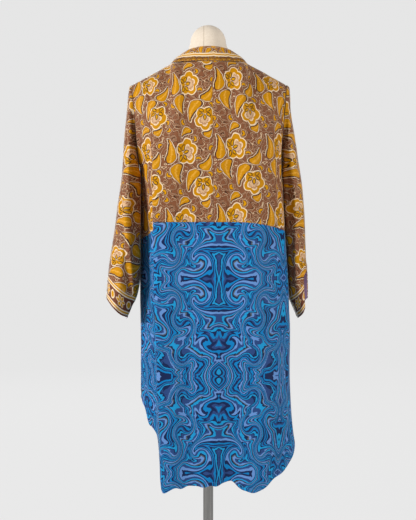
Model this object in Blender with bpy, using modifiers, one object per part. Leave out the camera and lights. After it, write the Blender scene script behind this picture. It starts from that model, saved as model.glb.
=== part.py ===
"""A long open kimono robe, printed bodice above a marbled skirt, worn by a limbless dress form.

Metres, +Z up. The wearer faces -Y and the wearer's left hand is at +X. The robe is cut from thin
cloth: two backs, two fronts, three skirt panels, two sleeves, a back collar and two front bands.
Every panel is a sheet through a few upright lines of the garment, thickened to a wall. The lines
stand on the fold crests and in the hollows between them, so the plan of the robe at any height is
a smooth curve through them. The form is a padded torso on a pole and a round foot.
"""
import math

import bmesh
import bpy
import numpy as np

MM = 0.001

# Cloth and seams
WALL = 0.0016
SEAM_GAP = 0.0003
TURNED_SEAM_GAP = 0.0005
ARMHOLE_GAP_TOP = 0.0012
ARMHOLE_GAP_LOW = 0.0024

# Heights above the floor
CHEST = 1.110
HIP = 0.780
KNEE = 0.460
HEM = 0.260
LEVELS = (HEM, KNEE, HIP, CHEST)

# Neck and shoulder line, from the neck point out to the armhole
NECK_POINT_X = 0.105
NECK_POINT_Z = 1.4025
NECK_BACK_Y = 0.082
NECK_BACK_Z = 1.4015
ARMHOLE_X = 0.212
ARMHOLE_Z = 1.344
SHOULDER_DROP = (NECK_POINT_Z - ARMHOLE_Z) / (ARMHOLE_X - NECK_POINT_X)

# How strongly a column of the bodice leaves the chest and runs over the shoulder
RISE = 0.27
OVER_SHOULDER = 0.30
OVER_ARMHOLE = 0.21
INTO_NECK = (0.15, 0.17)
ARMHOLE_SPREAD = 0.18
ARMHOLE_CLIMB = 0.75
SIDE_REACH = 0.10
SLOPE_STEP = 0.01
SHOULDER_CROWD = 1.5

# Collar and front bands
BAND_WIDTH = 0.042
COLLAR_RISE = 0.0425
COLLAR_LEAN = 0.016
COLLAR_SIDE_RISE = 0.027
COLLAR_SIDE_LEAN = 0.032
COLLAR_BOW = 0.014
COLLAR_GAP_BACK = 0.0005
COLLAR_GAP_SIDE = 0.0015
COLLAR_TURN = 1.3

# Rows of facets
SKIRT_ROWS = 11
LOW_ROWS = 3
HIGH_ROWS = 10
COLLAR_ROWS = 3
BAND_COLUMNS = 2
SLEEVE_ROWS = 17
SLEEVE_FACETS = 13
SLEEVE_CROWD = 1.35

# Stand
FOOT_RADIUS = 0.190
FOOT_HEIGHT = 0.012
FOOT_EDGE = 0.003
FOOT_SIDES = 48
POLE_RADIUS = 0.014
POLE_EDGE = 0.001
POLE_SIDES = 20
FORM_X = 0.0024
FORM_FACETS = 28
FORM_STEPS = 2
FORM_CLEARANCE = 0.0004

# The upright lines of the robe, from the wearer's left front edge round the back to the right
# front edge, in millimetres: the place in plan at the chest, hip, knee and hem, the place across
# on the shoulder or neckline, the heights of the waist seam and the hem, and the facets to the
# next line.
LINES = (
    ("front_edge_left", (77, -150), (78, -152), (80, -156), (82, -160), 105, 966, 412, 3),
    ("front_crest_left", (122, -141), (124, -144), (128, -150), (130, -154), 143, 960, 378, 2),
    ("front_hollow_left", (140, -109), (139, -110), (141, -116), (143, -120), 163, 951, 398, 2),
    ("front_side_left", (168, -82), (166, -86), (168, -92), (170, -96), 179, 940, 424, 3),
    ("side_left", (190, 8), (190, 4), (188.5, 2), (189, 0), 212, 919, 470, 3),
    ("fold_left", (177, 50), (168, 46), (163, 46), (160, 48), 196, 930, 408, 2),
    ("hollow_left", (153, 86), (147, 80), (141, 82), (138, 84), 174, 946, 374, 2),
    ("ridge_left", (151, 120), (143, 130), (133, 136), (128, 140), 150, 967, 243, 3),
    ("neck_left", (112, 131), (110, 137), (108, 143), (102, 147), 105, 968, 248, 4),
    ("back_left", (52, 128), (52, 131), (51, 134), (50, 137), 48, 968, 256, 3),
    ("centre_back", (-11.5, 133), (-12, 138), (-12, 143), (-12, 147), -9, 968, 257, 3),
    ("back_right", (-62, 127), (-62, 130), (-60, 132), (-58, 134), -54, 968, 268, 4),
    ("neck_right", (-112, 131), (-113, 137), (-114, 142), (-114, 147), -105, 966, 239, 3),
    ("blade_right", (-156, 117), (-164, 124), (-170, 132), (-174, 136), -156, 958, 273, 2),
    ("crest_right", (-190, 76), (-212, 84), (-218, 88), (-249, 86), -189, 946, 348, 3),
    ("side_right", (-193, 8), (-208, 2), (-214, 0), (-219, 0), -212, 936, 476, 3),
    ("front_side_right", (-170, -82), (-178, -88), (-186, -94), (-190, -98), -181, 945, 430, 2),
    ("front_hollow_right", (-141, -108), (-147, -112), (-153, -118), (-157, -122), -164, 953, 402, 2),
    ("front_crest_right", (-124, -142), (-127, -146), (-132, -152), (-136, -158), -145, 960, 380, 3),
    ("front_edge_right", (-77, -150), (-78, -153), (-80, -157), (-82, -160), -105, 966, 415, 0),
)
NAMES = [line[0] for line in LINES]
PLANS = np.array([[line[4], line[3], line[2], line[1]] for line in LINES]) * MM
WAIST_Z = np.array([line[6] for line in LINES]) * MM
HEM_Z = np.array([line[7] for line in LINES]) * MM
FACETS = [line[8] for line in LINES]

# The sleeves, in millimetres: how far down the sleeve in percent, the outer line across and its
# height, the inner line across and its height, half the depth front to back, and its middle.
SLEEVES = {
    "left": (
        (0, 212, 1344, 190, 1110, 49, 4),
        (2, 217.5, 1340, 190.5, 1102, 50, 4),
        (5, 221, 1320, 191, 1090, 52, 4),
        (12, 224.5, 1278, 191.2, 1061, 57, 3),
        (25, 232.5, 1201, 191, 1007, 66, 2),
        (45, 242, 1085, 190.8, 922, 75, 0),
        (65, 258.5, 968, 190.6, 838, 81, -2),
        (75, 267, 910, 192.5, 798, 83, -3),
        (85, 275.5, 852, 203, 757, 84, -3),
        (100, 284.5, 760, 227.5, 698, 82, -3),
    ),
    "right": (
        (0, 212, 1344, 193, 1110, 49, 4),
        (2, 218.5, 1339, 194, 1102, 50, 4),
        (5, 221.5, 1319, 195.5, 1090, 52, 4),
        (12, 223.5, 1275, 198, 1061, 57, 3),
        (25, 235, 1203, 199.5, 1007, 66, 2),
        (45, 254.5, 1087, 204, 922, 75, 0),
        (65, 264, 971, 210, 840, 81, -2),
        (85, 267.5, 853, 218.5, 760, 84, -3),
        (100, 271.5, 754, 245, 700, 82, -3),
    ),
}

# Lengthwise folds of the sleeves: the face, the place from the inner line, 0, to the outer line, 1,
# at the top and at the cuff, the height and half width of the fold, and how far down the sleeve it
# is strongest.
SLEEVE_FOLDS = (
    ("back", 0.62, 0.50, 0.007, 0.10, 0.55),
    ("back", 0.30, 0.22, 0.005, 0.09, 0.30),
    ("back", 0.86, 0.80, 0.004, 0.07, 0.75),
    ("front", 0.55, 0.62, 0.007, 0.11, 0.50),
    ("front", 0.28, 0.30, 0.005, 0.09, 0.70),
)
FOLD_RUN = 0.42

# The share of a sleeve's length over which it leaves the armhole, and how round it hangs below
SEATED = 0.12
ROUNDNESS = 4.0

# The dress form, in millimetres: height, half width, depth in front, depth behind, and how
# square the ring is (2 is an ellipse).
FORM_RINGS = (
    (740, 150, 92, 104, 2.2),
    (800, 163, 100, 118, 2.3),
    (870, 152, 98, 110, 2.3),
    (940, 128, 92, 88, 2.3),
    (1000, 118, 90, 78, 2.3),
    (1070, 130, 102, 86, 2.3),
    (1150, 147, 124, 97, 2.3),
    (1200, 155, 126, 101, 2.3),
    (1262, 170, 106, 98, 2.2),
    (1305, 185, 86, 86, 2.1),
    (1336, 190.5, 72, 76, 2.0),
)
FORM_NECK = (
    (1404, 91, 56, 60, 2.0),
    (1415, 73, 53, 58, 2.0),
    (1433, 59, 51, 56, 2.0),
    (1459, 49, 47, 52, 2.0),
)
SHOULDER_RINGS = ((1355, 66, 70), (1364, 65, 70), (1374, 64, 69), (1385, 61, 65), (1393, 58, 62))
NECK_TOP = 1.509
DOME_STEPS = 5

# Colours, base colour, roughness and metallic
FINISHES = {
    "floral_print": ((0.270, 0.105, 0.045, 1.0), 0.62, 0.0),
    "floral_border": ((0.420, 0.200, 0.060, 1.0), 0.62, 0.0),
    "marbled_print": ((0.035, 0.120, 0.420, 1.0), 0.58, 0.0),
    "linen": ((0.700, 0.620, 0.520, 1.0), 0.90, 0.0),
    "pole_steel": ((0.560, 0.560, 0.560, 1.0), 0.30, 1.0),
    "foot_paint": ((0.700, 0.690, 0.670, 1.0), 0.45, 0.0),
}


def hermite(start, leave, end, arrive, t):
    """A point of the cubic curve between two points, with the direction at each."""
    a = 2 * t**3 - 3 * t**2 + 1
    b = t**3 - 2 * t**2 + t
    return a * start + b * leave + (1 - a) * end + (t**3 - t**2) * arrive


def through(knots, values, at):
    """A smooth curve through values that are given at the knots."""
    knots = np.asarray(knots, float)
    values = np.asarray(values, float)
    slopes = np.gradient(values, knots, axis=0)
    i = int(np.clip(np.searchsorted(knots, at) - 1, 0, len(knots) - 2))
    span = knots[i + 1] - knots[i]
    t = (at - knots[i]) / span
    return hermite(values[i], slopes[i] * span, values[i + 1], slopes[i + 1] * span, t)


def smooth_step(t):
    """A soft step from 0 to 1."""
    t = min(max(t, 0.0), 1.0)
    return t * t * (3 - 2 * t)


def plan(z):
    """Where the lines stand in plan at a height."""
    return through(LEVELS, PLANS.transpose(1, 0, 2), z)


AROUND = np.concatenate([[0.0], np.cumsum(np.linalg.norm(np.diff(plan(HIP), axis=0), axis=1))])
PLACE = dict(zip(NAMES, AROUND))


def body(u, z):
    """A point of the robe below the chest: u metres round it at the hip, z high."""
    x, y = through(AROUND, plan(z), u)
    return np.array([x, y, z])


def along_top(x):
    """How far a place across is along the top edge, from the left neck point round to the right one."""
    if abs(x) < NECK_POINT_X:
        return NECK_POINT_X * math.acos(x / NECK_POINT_X)
    return NECK_POINT_X - x if x > 0 else NECK_ARC - x - NECK_POINT_X


NECK_ARC = NECK_POINT_X * math.pi
TOPS = [along_top(line[5] * MM) for line in LINES]


def top_edge(u):
    """The shoulder seam, or the back neckline between the two neck points."""
    along = float(through(AROUND, TOPS, u))
    if 0 < along < NECK_ARC:
        angle = along / NECK_POINT_X
        z = NECK_BACK_Z - (NECK_BACK_Z - NECK_POINT_Z) * math.cos(angle) ** 2
        return np.array([NECK_POINT_X * math.cos(angle), NECK_BACK_Y * math.sin(angle), z])
    out = max(-along, along - NECK_ARC)
    x = math.copysign(NECK_POINT_X + out, NECK_ARC / 2 - along)
    return np.array([x, 0.0, NECK_POINT_Z - out * SHOULDER_DROP])


def bodice(u, v):
    """A point of the bodice above the chest, v from 0 at the chest to 1 at its top edge."""
    start = body(u, CHEST)
    top = top_edge(u)
    behind = PLACE["side_left"] < u < PLACE["side_right"]
    facing = 1.0 if behind else -1.0
    inward = smooth_step(min(abs(u - PLACE["side_left"]), abs(u - PLACE["side_right"])) / SIDE_REACH)
    upward = (start - body(u, CHEST - SLOPE_STEP)) / SLOPE_STEP * RISE
    outward = np.array([0, facing * ARMHOLE_SPREAD, 0]) + ARMHOLE_CLIMB * (top - start)
    leave = (1 - inward) * outward + inward * upward
    arrive = np.array([0, -facing * (OVER_ARMHOLE + inward * (OVER_SHOULDER - OVER_ARMHOLE)), 0])
    if behind:
        neck = smooth_step((NECK_POINT_X - abs(top[0])) / (NECK_POINT_X / 2))
        arrive = (1 - neck) * arrive + neck * np.array([0, -INTO_NECK[0], INTO_NECK[1]])
    return hermite(start, leave, top, arrive, v)


def stations(first, last, trim_first=0.0, trim_last=0.0):
    """Places round the robe between two lines, as many as the lines ask, trimmed at the seams."""
    places = []
    for i in range(NAMES.index(first), NAMES.index(last)):
        places += list(np.linspace(AROUND[i], AROUND[i + 1], FACETS[i], endpoint=False))
    places.append(PLACE[last])
    places[0] += trim_first
    places[-1] -= trim_last
    return places


def rise_rows():
    """The rows of the bodice above the chest, closer together where it bends over the shoulder."""
    top = 1 - TURNED_SEAM_GAP / 2 / OVER_SHOULDER
    return [top * (1 - (1 - k / HIGH_ROWS) ** SHOULDER_CROWD) for k in range(HIGH_ROWS + 1)]


def sheet(name, rows, finish, closed=False):
    """One panel of cloth: a sheet through rows of points, thickened to the wall."""
    mesh = bpy.data.meshes.new(name)
    work = bmesh.new()
    grid = [[work.verts.new(point) for point in row] for row in rows]
    columns = len(grid[0])
    for low, high in zip(grid, grid[1:]):
        for i in range(columns if closed else columns - 1):
            j = (i + 1) % columns
            work.faces.new((low[i], low[j], high[j], high[i]))
    work.to_mesh(mesh)
    work.free()
    mesh.shade_smooth()
    panel = bpy.data.objects.new(name, mesh)
    wall = panel.modifiers.new("wall", "SOLIDIFY")
    wall.thickness = WALL
    wall.offset = 0.0
    return place(panel, finish)


def place(thing, finish):
    """Give a piece its material and put it in the robe's collection, on the stand."""
    color, roughness, metallic = FINISHES[finish]
    material = bpy.data.materials.new(thing.name)
    material.use_nodes = True
    shader = material.node_tree.nodes["Principled BSDF"]
    shader.inputs["Base Color"].default_value = color
    shader.inputs["Roughness"].default_value = roughness
    shader.inputs["Metallic"].default_value = metallic
    thing.data.materials.append(material)
    for owner in list(thing.users_collection):
        owner.objects.unlink(thing)
    collection.objects.link(thing)
    thing.parent = stand
    return thing


def bodice_panel(name, first, last, trim_first, trim_last):
    """A back or front of the bodice, from the waist seam to the shoulder seam or neckline."""
    places = stations(first, last, trim_first, trim_last)
    rows = []
    for k in range(LOW_ROWS):
        row = []
        for u in places:
            waist = float(through(AROUND, WAIST_Z, u)) + SEAM_GAP / 2
            row.append(body(u, waist + (CHEST - waist) * k / LOW_ROWS))
        rows.append(row)
    for v in rise_rows():
        rows.append([bodice(u, v) for u in places])
    return sheet(name, rows, "floral_print")


def skirt_panel(name, first, last, trim_first, trim_last):
    """A panel of the skirt, from its hem to the waist seam."""
    places = stations(first, last, trim_first, trim_last)
    rows = []
    for k in range(SKIRT_ROWS + 1):
        row = []
        for u in places:
            waist = float(through(AROUND, WAIST_Z, u)) - SEAM_GAP / 2
            hem = float(through(AROUND, HEM_Z, u))
            row.append(body(u, hem + (waist - hem) * k / SKIRT_ROWS))
        rows.append(row)
    return sheet(name, rows, "marbled_print")


def sleeve_point(side, t, v, facing):
    """A point of a sleeve: t down its length, v from the inner line to the outer one."""
    table = np.array(SLEEVES[side], float)
    outer_x, outer_z, inner_x, inner_z, depth, middle = through(table[:, 0] / 100, table[:, 1:] * MM, t)
    hand = 1.0 if side == "left" else -1.0
    u = PLACE["side_" + side]
    gap = ARMHOLE_GAP_TOP + (ARMHOLE_GAP_LOW - ARMHOLE_GAP_TOP) * (1 - v) ** 2
    seated = 1 - smooth_step(t / SEATED)
    inner_y = middle + seated * (body(u, CHEST)[1] - middle)
    outer_y = middle * (1 - seated)
    inner = np.array([hand * (inner_x + gap), inner_y, inner_z])
    outer = np.array([hand * (outer_x + gap), outer_y, outer_z])
    spread = seated * ARMHOLE_SPREAD + (1 - seated) * ROUNDNESS * depth
    over = seated * OVER_ARMHOLE + (1 - seated) * ROUNDNESS * depth
    leave = np.array([0, facing * spread, 0]) + seated * ARMHOLE_CLIMB * (outer - inner)
    point = hermite(inner, leave, outer, np.array([0, -facing * over, 0]), v)
    for where, top, cuff, height, width, strongest in SLEEVE_FOLDS:
        if where == ("back" if facing > 0 else "front"):
            crest = top + (cuff - top) * t
            run = math.exp(-(((t - strongest) / FOLD_RUN) ** 2)) * (1 - seated)
            point[1] += facing * height * run * math.exp(-(((v - crest) / width) ** 2))
    return point


def sleeve(side):
    """A sleeve, a flat-hanging tube from the armhole down to its slanting cuff."""
    rows = []
    for k in range(SLEEVE_ROWS + 1):
        t = (k / SLEEVE_ROWS) ** SLEEVE_CROWD
        behind = [sleeve_point(side, t, i / SLEEVE_FACETS, 1.0) for i in range(SLEEVE_FACETS)]
        before = [sleeve_point(side, t, 1 - i / SLEEVE_FACETS, -1.0) for i in range(SLEEVE_FACETS)]
        row = behind + before
        rows.append(row[::-1] if side == "right" else row)
    return sheet("sleeve_" + side, rows, "floral_print", closed=True)


def across_band(seam, across, gap, parts, bow=0.0):
    """A row of points across a band, from its seam to its free edge, bowed between them."""
    start = gap / np.linalg.norm(across)
    row = []
    for i in range(parts + 1):
        share = start + (1 - start) * i / parts
        row.append(seam + across * share + bow * share * (1 - share))
    return row


def collar_across(x):
    """The way the collar stands up from the neckline, at a place across."""
    side = min(abs(x) / NECK_POINT_X, 1.0) ** 2
    seam = np.array([x, NECK_BACK_Y * math.sqrt(1 - side), 0.0])
    inward = -seam / np.linalg.norm(seam)
    lean = COLLAR_LEAN + (COLLAR_SIDE_LEAN - COLLAR_LEAN) * side
    rise = COLLAR_RISE + (COLLAR_SIDE_RISE - COLLAR_RISE) * side
    return inward * lean + np.array([0.0, 0.0, rise])


def collar_bow(x):
    """The way the middle of the collar bows out and up, at a place across."""
    side = min(abs(x) / NECK_POINT_X, 1.0) ** 2
    across = collar_across(x)
    outward = -across * np.array([1.0, 1.0, 0.0])
    lean = np.linalg.norm(outward)
    up = np.array([0.0, 0.0, lean])
    return (outward * across[2] / lean + up) / np.linalg.norm(across) * COLLAR_BOW * side


def collar():
    """The back collar, a band that stands round the neck from one shoulder seam to the other."""
    columns = []
    for u in stations("neck_left", "neck_right", SEAM_GAP, SEAM_GAP):
        seam = top_edge(u)
        side = smooth_step(COLLAR_TURN * abs(seam[0]) / NECK_POINT_X)
        gap = COLLAR_GAP_BACK + (COLLAR_GAP_SIDE - COLLAR_GAP_BACK) * side
        columns.append(across_band(seam, collar_across(seam[0]), gap, COLLAR_ROWS, collar_bow(seam[0])))
    return sheet("collar_back", list(zip(*columns)), "floral_border")


def front_band(side):
    """A front band, sewn along the front edge from the hem up to the shoulder seam."""
    edge = PLACE["front_edge_" + side]
    hand = 1.0 if side == "left" else -1.0
    level = np.array([-hand * BAND_WIDTH, 0.0, 0.0])
    hem = float(through(AROUND, HEM_Z, edge))
    seams = []
    for k in range(SKIRT_ROWS + LOW_ROWS):
        z = hem + (CHEST - hem) * k / (SKIRT_ROWS + LOW_ROWS)
        seams.append((body(edge, z), level, SEAM_GAP, 0.0))
    for v in rise_rows():
        turn = smooth_step(v)
        across = (1 - turn) * level + turn * collar_across(hand * NECK_POINT_X)
        bow = turn * collar_bow(hand * NECK_POINT_X)
        seams.append((bodice(edge, v), across, SEAM_GAP + (COLLAR_GAP_SIDE - SEAM_GAP) * turn, bow))
    rows = []
    for seam, across, gap, bow in seams:
        row = across_band(seam, across, gap, BAND_COLUMNS, bow)
        rows.append(row[::-1] if side == "left" else row)
    return sheet("front_band_" + side, rows, "floral_border")


def form_table():
    """The rings of the form: torso, shoulders just under the cloth, and neck."""
    rings = [np.array(row, float) for row in FORM_RINGS]
    under = (WALL / 2 + FORM_CLEARANCE) * math.hypot(1, SHOULDER_DROP)
    for height, front, back in SHOULDER_RINGS:
        half = NECK_POINT_X + (NECK_POINT_Z - under - height * MM) / SHOULDER_DROP
        rings.append(np.array([height, (half - FORM_X) / MM, front, back, 2.0]))
    rings += [np.array(row, float) for row in FORM_NECK]
    return np.array(rings)


def form_torso():
    """The padded torso and neck of the form, a loft through its rings with a domed neck."""
    table = form_table()
    rings = []
    for i in range(len(table) - 1):
        for k in range(FORM_STEPS):
            at = table[i, 0] + (table[i + 1, 0] - table[i, 0]) * k / FORM_STEPS
            rings.append(np.array([at, *through(table[:, 0], table[:, 1:], at)]))
    neck = table[-1]
    for k in range(DOME_STEPS):
        angle = math.pi / 2 * k / DOME_STEPS
        rise = (NECK_TOP / MM - neck[0]) * math.sin(angle)
        rings.append(np.array([neck[0] + rise, *(neck[1:4] * math.cos(angle)), 2.0]))
    mesh = bpy.data.meshes.new("form_torso")
    work = bmesh.new()
    loops = []
    for height, half, front, back, square in rings:
        loop = []
        for i in range(FORM_FACETS):
            angle = 2 * math.pi * i / FORM_FACETS
            c = math.cos(angle)
            s = math.sin(angle)
            x = math.copysign(abs(c) ** (2 / square), c) * half
            y = math.copysign(abs(s) ** (2 / square), s) * (back if s > 0 else front)
            loop.append(work.verts.new((FORM_X + x * MM, y * MM, height * MM)))
        loops.append(loop)
    for low, high in zip(loops, loops[1:]):
        for i in range(FORM_FACETS):
            j = (i + 1) % FORM_FACETS
            work.faces.new((low[i], low[j], high[j], high[i]))
    work.faces.new(loops[0][::-1])
    tip = work.verts.new((FORM_X, 0.0, NECK_TOP))
    for i in range(FORM_FACETS):
        work.faces.new((loops[-1][i], loops[-1][(i + 1) % FORM_FACETS], tip))
    work.to_mesh(mesh)
    work.free()
    mesh.shade_smooth()
    return place(bpy.data.objects.new("form_torso", mesh), "linen")


def turned(name, radius, low, high, edge, finish, sides):
    """A round post or plate from one height to another, with softened edges."""
    bpy.ops.mesh.primitive_cylinder_add(
        vertices=sides, radius=radius, depth=high - low, location=(FORM_X, 0, (low + high) / 2)
    )
    piece = bpy.context.active_object
    piece.name = name
    piece.data.name = name
    bevel = piece.modifiers.new("edge", "BEVEL")
    bevel.width = edge
    bevel.segments = 2
    bevel.limit_method = "ANGLE"
    piece.data.shade_smooth()
    return place(piece, finish)


for old in list(bpy.data.objects):
    bpy.data.objects.remove(old)

collection = bpy.data.collections.new("kimono_robe_on_form")
bpy.context.scene.collection.children.link(collection)
stand = bpy.data.objects.new("robe_stand", None)
stand.location.x = (SLEEVES["right"][-1][1] - SLEEVES["left"][-1][1]) * MM / 2
collection.objects.link(stand)

FLAT = SEAM_GAP / 2
TURNED = TURNED_SEAM_GAP / 2
bodice_panel("bodice_front_left", "front_edge_left", "side_left", 0.0, TURNED)
bodice_panel("bodice_back_left", "side_left", "centre_back", TURNED, FLAT)
bodice_panel("bodice_back_right", "centre_back", "side_right", FLAT, TURNED)
bodice_panel("bodice_front_right", "side_right", "front_edge_right", TURNED, 0.0)
skirt_panel("skirt_front_left", "front_edge_left", "side_left", 0.0, TURNED)
skirt_panel("skirt_back", "side_left", "side_right", TURNED, TURNED)
skirt_panel("skirt_front_right", "side_right", "front_edge_right", TURNED, 0.0)
sleeve("left")
sleeve("right")
collar()
front_band("left")
front_band("right")
form_torso()
POLE_LOW = FOOT_HEIGHT + SEAM_GAP
POLE_TOP = FORM_RINGS[0][0] * MM - SEAM_GAP
turned("form_pole", POLE_RADIUS, POLE_LOW, POLE_TOP, POLE_EDGE, "pole_steel", POLE_SIDES)
turned("form_foot", FOOT_RADIUS, 0.0, FOOT_HEIGHT, FOOT_EDGE, "foot_paint", FOOT_SIDES)
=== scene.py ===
"""The looks of a long open kimono robe on its dress form: cloth, prints, sewing, form and stand."""
import math

import bpy
import numpy as np
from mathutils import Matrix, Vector, noise


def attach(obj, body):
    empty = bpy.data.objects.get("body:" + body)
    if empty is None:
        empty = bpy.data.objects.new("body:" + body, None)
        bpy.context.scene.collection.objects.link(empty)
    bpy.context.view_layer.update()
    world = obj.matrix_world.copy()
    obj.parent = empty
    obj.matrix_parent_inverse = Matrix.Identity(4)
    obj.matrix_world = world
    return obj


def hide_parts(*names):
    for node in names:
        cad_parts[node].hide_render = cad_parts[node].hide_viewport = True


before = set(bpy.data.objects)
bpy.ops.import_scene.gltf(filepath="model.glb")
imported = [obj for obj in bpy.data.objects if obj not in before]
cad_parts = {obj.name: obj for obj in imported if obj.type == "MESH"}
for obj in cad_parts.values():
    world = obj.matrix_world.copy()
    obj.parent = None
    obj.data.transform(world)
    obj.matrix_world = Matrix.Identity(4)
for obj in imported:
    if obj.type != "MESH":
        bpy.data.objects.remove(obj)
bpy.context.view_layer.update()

# The two back panels of the bodice, in printed silk crepe. They are cut apart down the centre, so
# the print jumps at their seam, and they hang from the shoulder seams in long soft folds.
MM = 0.001
CREPE = 0.8 * MM
SEAM = 0.3 * MM
TURNED_SEAM = 0.5 * MM
SEAM_REACH = 3.2 * MM
SEAM_DEPTH = 0.8 * MM
TOPSTITCH = 4.0 * MM
SHIFT = -6.5 * MM
SHARP = math.radians(50)

# The heights that the cut is set out from, in metres, and its neck and armhole points.
CHEST = 1.110
LEVELS = (0.260, 0.460, 0.780, CHEST)
NECK_POINT_X = 0.105
NECK_POINT_Z = 1.4025
NECK_BACK_Y = 0.082
NECK_BACK_Z = 1.4015
ARMHOLE_X = 0.212
ARMHOLE_Z = 1.344
SHOULDER_DROP = (NECK_POINT_Z - ARMHOLE_Z) / (ARMHOLE_X - NECK_POINT_X)
NECK_ARC = NECK_POINT_X * math.pi

# How far the cloth's curve runs on where it leaves the chest and where it comes over the shoulder.
RISE = 0.27
OVER_SHOULDER = 0.30
OVER_ARMHOLE = 0.21
INTO_NECK = (0.15, 0.17)
ARMHOLE_SPREAD = 0.18
ARMHOLE_CLIMB = 0.75
SIDE_REACH = 0.10
SLOPE_STEP = 0.01

# The upright lines that the robe hangs in, round from the wearer's left front edge: the place in
# plan at the chest, hip, knee and hem, the place across on the shoulder, and the heights of the
# waist seam and of the hem, in millimetres.
LINES = (
    ("front_edge_left", (77, -150), (78, -152), (80, -156), (82, -160), 105, 966, 412),
    ("front_crest_left", (122, -141), (124, -144), (128, -150), (130, -154), 143, 960, 378),
    ("front_hollow_left", (140, -109), (139, -110), (141, -116), (143, -120), 163, 951, 398),
    ("front_side_left", (168, -82), (166, -86), (168, -92), (170, -96), 179, 940, 424),
    ("side_left", (190, 8), (190, 4), (188.5, 2), (189, 0), 212, 919, 470),
    ("fold_left", (177, 50), (168, 46), (163, 46), (160, 48), 196, 930, 408),
    ("hollow_left", (153, 86), (147, 80), (141, 82), (138, 84), 174, 946, 374),
    ("ridge_left", (151, 120), (143, 130), (133, 136), (128, 140), 150, 967, 243),
    ("neck_left", (112, 131), (110, 137), (108, 143), (102, 147), 105, 968, 248),
    ("back_left", (52, 128), (52, 131), (51, 134), (50, 137), 48, 968, 256),
    ("centre_back", (-11.5, 133), (-12, 138), (-12, 143), (-12, 147), -9, 968, 257),
    ("back_right", (-62, 127), (-62, 130), (-60, 132), (-58, 134), -54, 968, 268),
    ("neck_right", (-112, 131), (-113, 137), (-114, 142), (-114, 147), -105, 966, 239),
    ("blade_right", (-156, 117), (-164, 124), (-170, 132), (-174, 136), -156, 958, 273),
    ("crest_right", (-190, 76), (-212, 84), (-218, 88), (-249, 86), -189, 946, 348),
    ("side_right", (-193, 8), (-208, 2), (-214, 0), (-219, 0), -212, 936, 476),
    ("front_side_right", (-170, -82), (-178, -88), (-186, -94), (-190, -98), -181, 945, 430),
    ("front_hollow_right", (-141, -108), (-147, -112), (-153, -118), (-157, -122), -164, 953, 402),
    ("front_crest_right", (-124, -142), (-127, -146), (-132, -152), (-136, -158), -145, 960, 380),
    ("front_edge_right", (-77, -150), (-78, -153), (-80, -157), (-82, -160), -105, 966, 415),
)
PLANS = np.array([line[4:0:-1] for line in LINES]) * MM
WAIST_Z = np.array([line[6] for line in LINES]) * MM
HEM_Z = np.array([line[7] for line in LINES]) * MM


def hermite(start, leave, end, arrive, t):
    """A point of the cubic curve between two points, with the direction at each."""
    a = 2 * t**3 - 3 * t**2 + 1
    b = t**3 - 2 * t**2 + t
    return a * start + b * leave + (1 - a) * end + (t**3 - t**2) * arrive


def through(knots, values, at):
    """A smooth curve through values that are given at the knots, read at many places."""
    knots = np.asarray(knots, float)
    values = np.asarray(values, float)
    slopes = np.gradient(values, knots, axis=0)
    i = np.clip(np.searchsorted(knots, at) - 1, 0, len(knots) - 2)
    span = knots[i + 1] - knots[i]
    t = (at - knots[i]) / span
    if values.ndim > 1:
        span = span[..., None]
        t = t[..., None]
    return hermite(values[i], slopes[i] * span, values[i + 1], slopes[i + 1] * span, t)


def smooth_step(t):
    """A soft step from 0 to 1."""
    t = np.clip(t, 0.0, 1.0)
    return t * t * (3 - 2 * t)


HIP_PLAN = PLANS[:, 2]
AROUND = np.concatenate([[0.0], np.cumsum(np.linalg.norm(np.diff(HIP_PLAN, axis=0), axis=1))])
PLACE = {line[0]: around for line, around in zip(LINES, AROUND)}


def along_top(x):
    """How far a place across is along the top edge, from one neck point round to the other."""
    if abs(x) < NECK_POINT_X:
        return NECK_POINT_X * math.acos(x / NECK_POINT_X)
    return NECK_POINT_X - x if x > 0 else NECK_ARC - x - NECK_POINT_X


TOPS = [along_top(line[5] * MM) for line in LINES]


def body(u, z):
    """Points of the robe below the chest: u metres round it at the hip, z high."""
    by_line = through(AROUND, np.eye(len(AROUND)), u)
    by_level = through(LEVELS, np.eye(len(LEVELS)), z)
    flat = np.einsum("...a,...b,abc->...c", by_line, by_level, PLANS)
    return np.concatenate([flat, z[..., None]], axis=-1)


def top_edge(u):
    """The shoulder seams, and the back neckline between the two neck points."""
    along = through(AROUND, TOPS, u)
    angle = along / NECK_POINT_X
    round_neck = (
        NECK_POINT_X * np.cos(angle),
        NECK_BACK_Y * np.sin(angle),
        NECK_BACK_Z - (NECK_BACK_Z - NECK_POINT_Z) * np.cos(angle) ** 2,
    )
    out = np.maximum(-along, along - NECK_ARC)
    x = np.copysign(NECK_POINT_X + out, NECK_ARC / 2 - along)
    shoulder = (x, 0 * x, NECK_POINT_Z - out * SHOULDER_DROP)
    on_neck = (along > 0) & (along < NECK_ARC)
    return np.stack([np.where(on_neck, a, b) for a, b in zip(round_neck, shoulder)], axis=-1)


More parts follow.
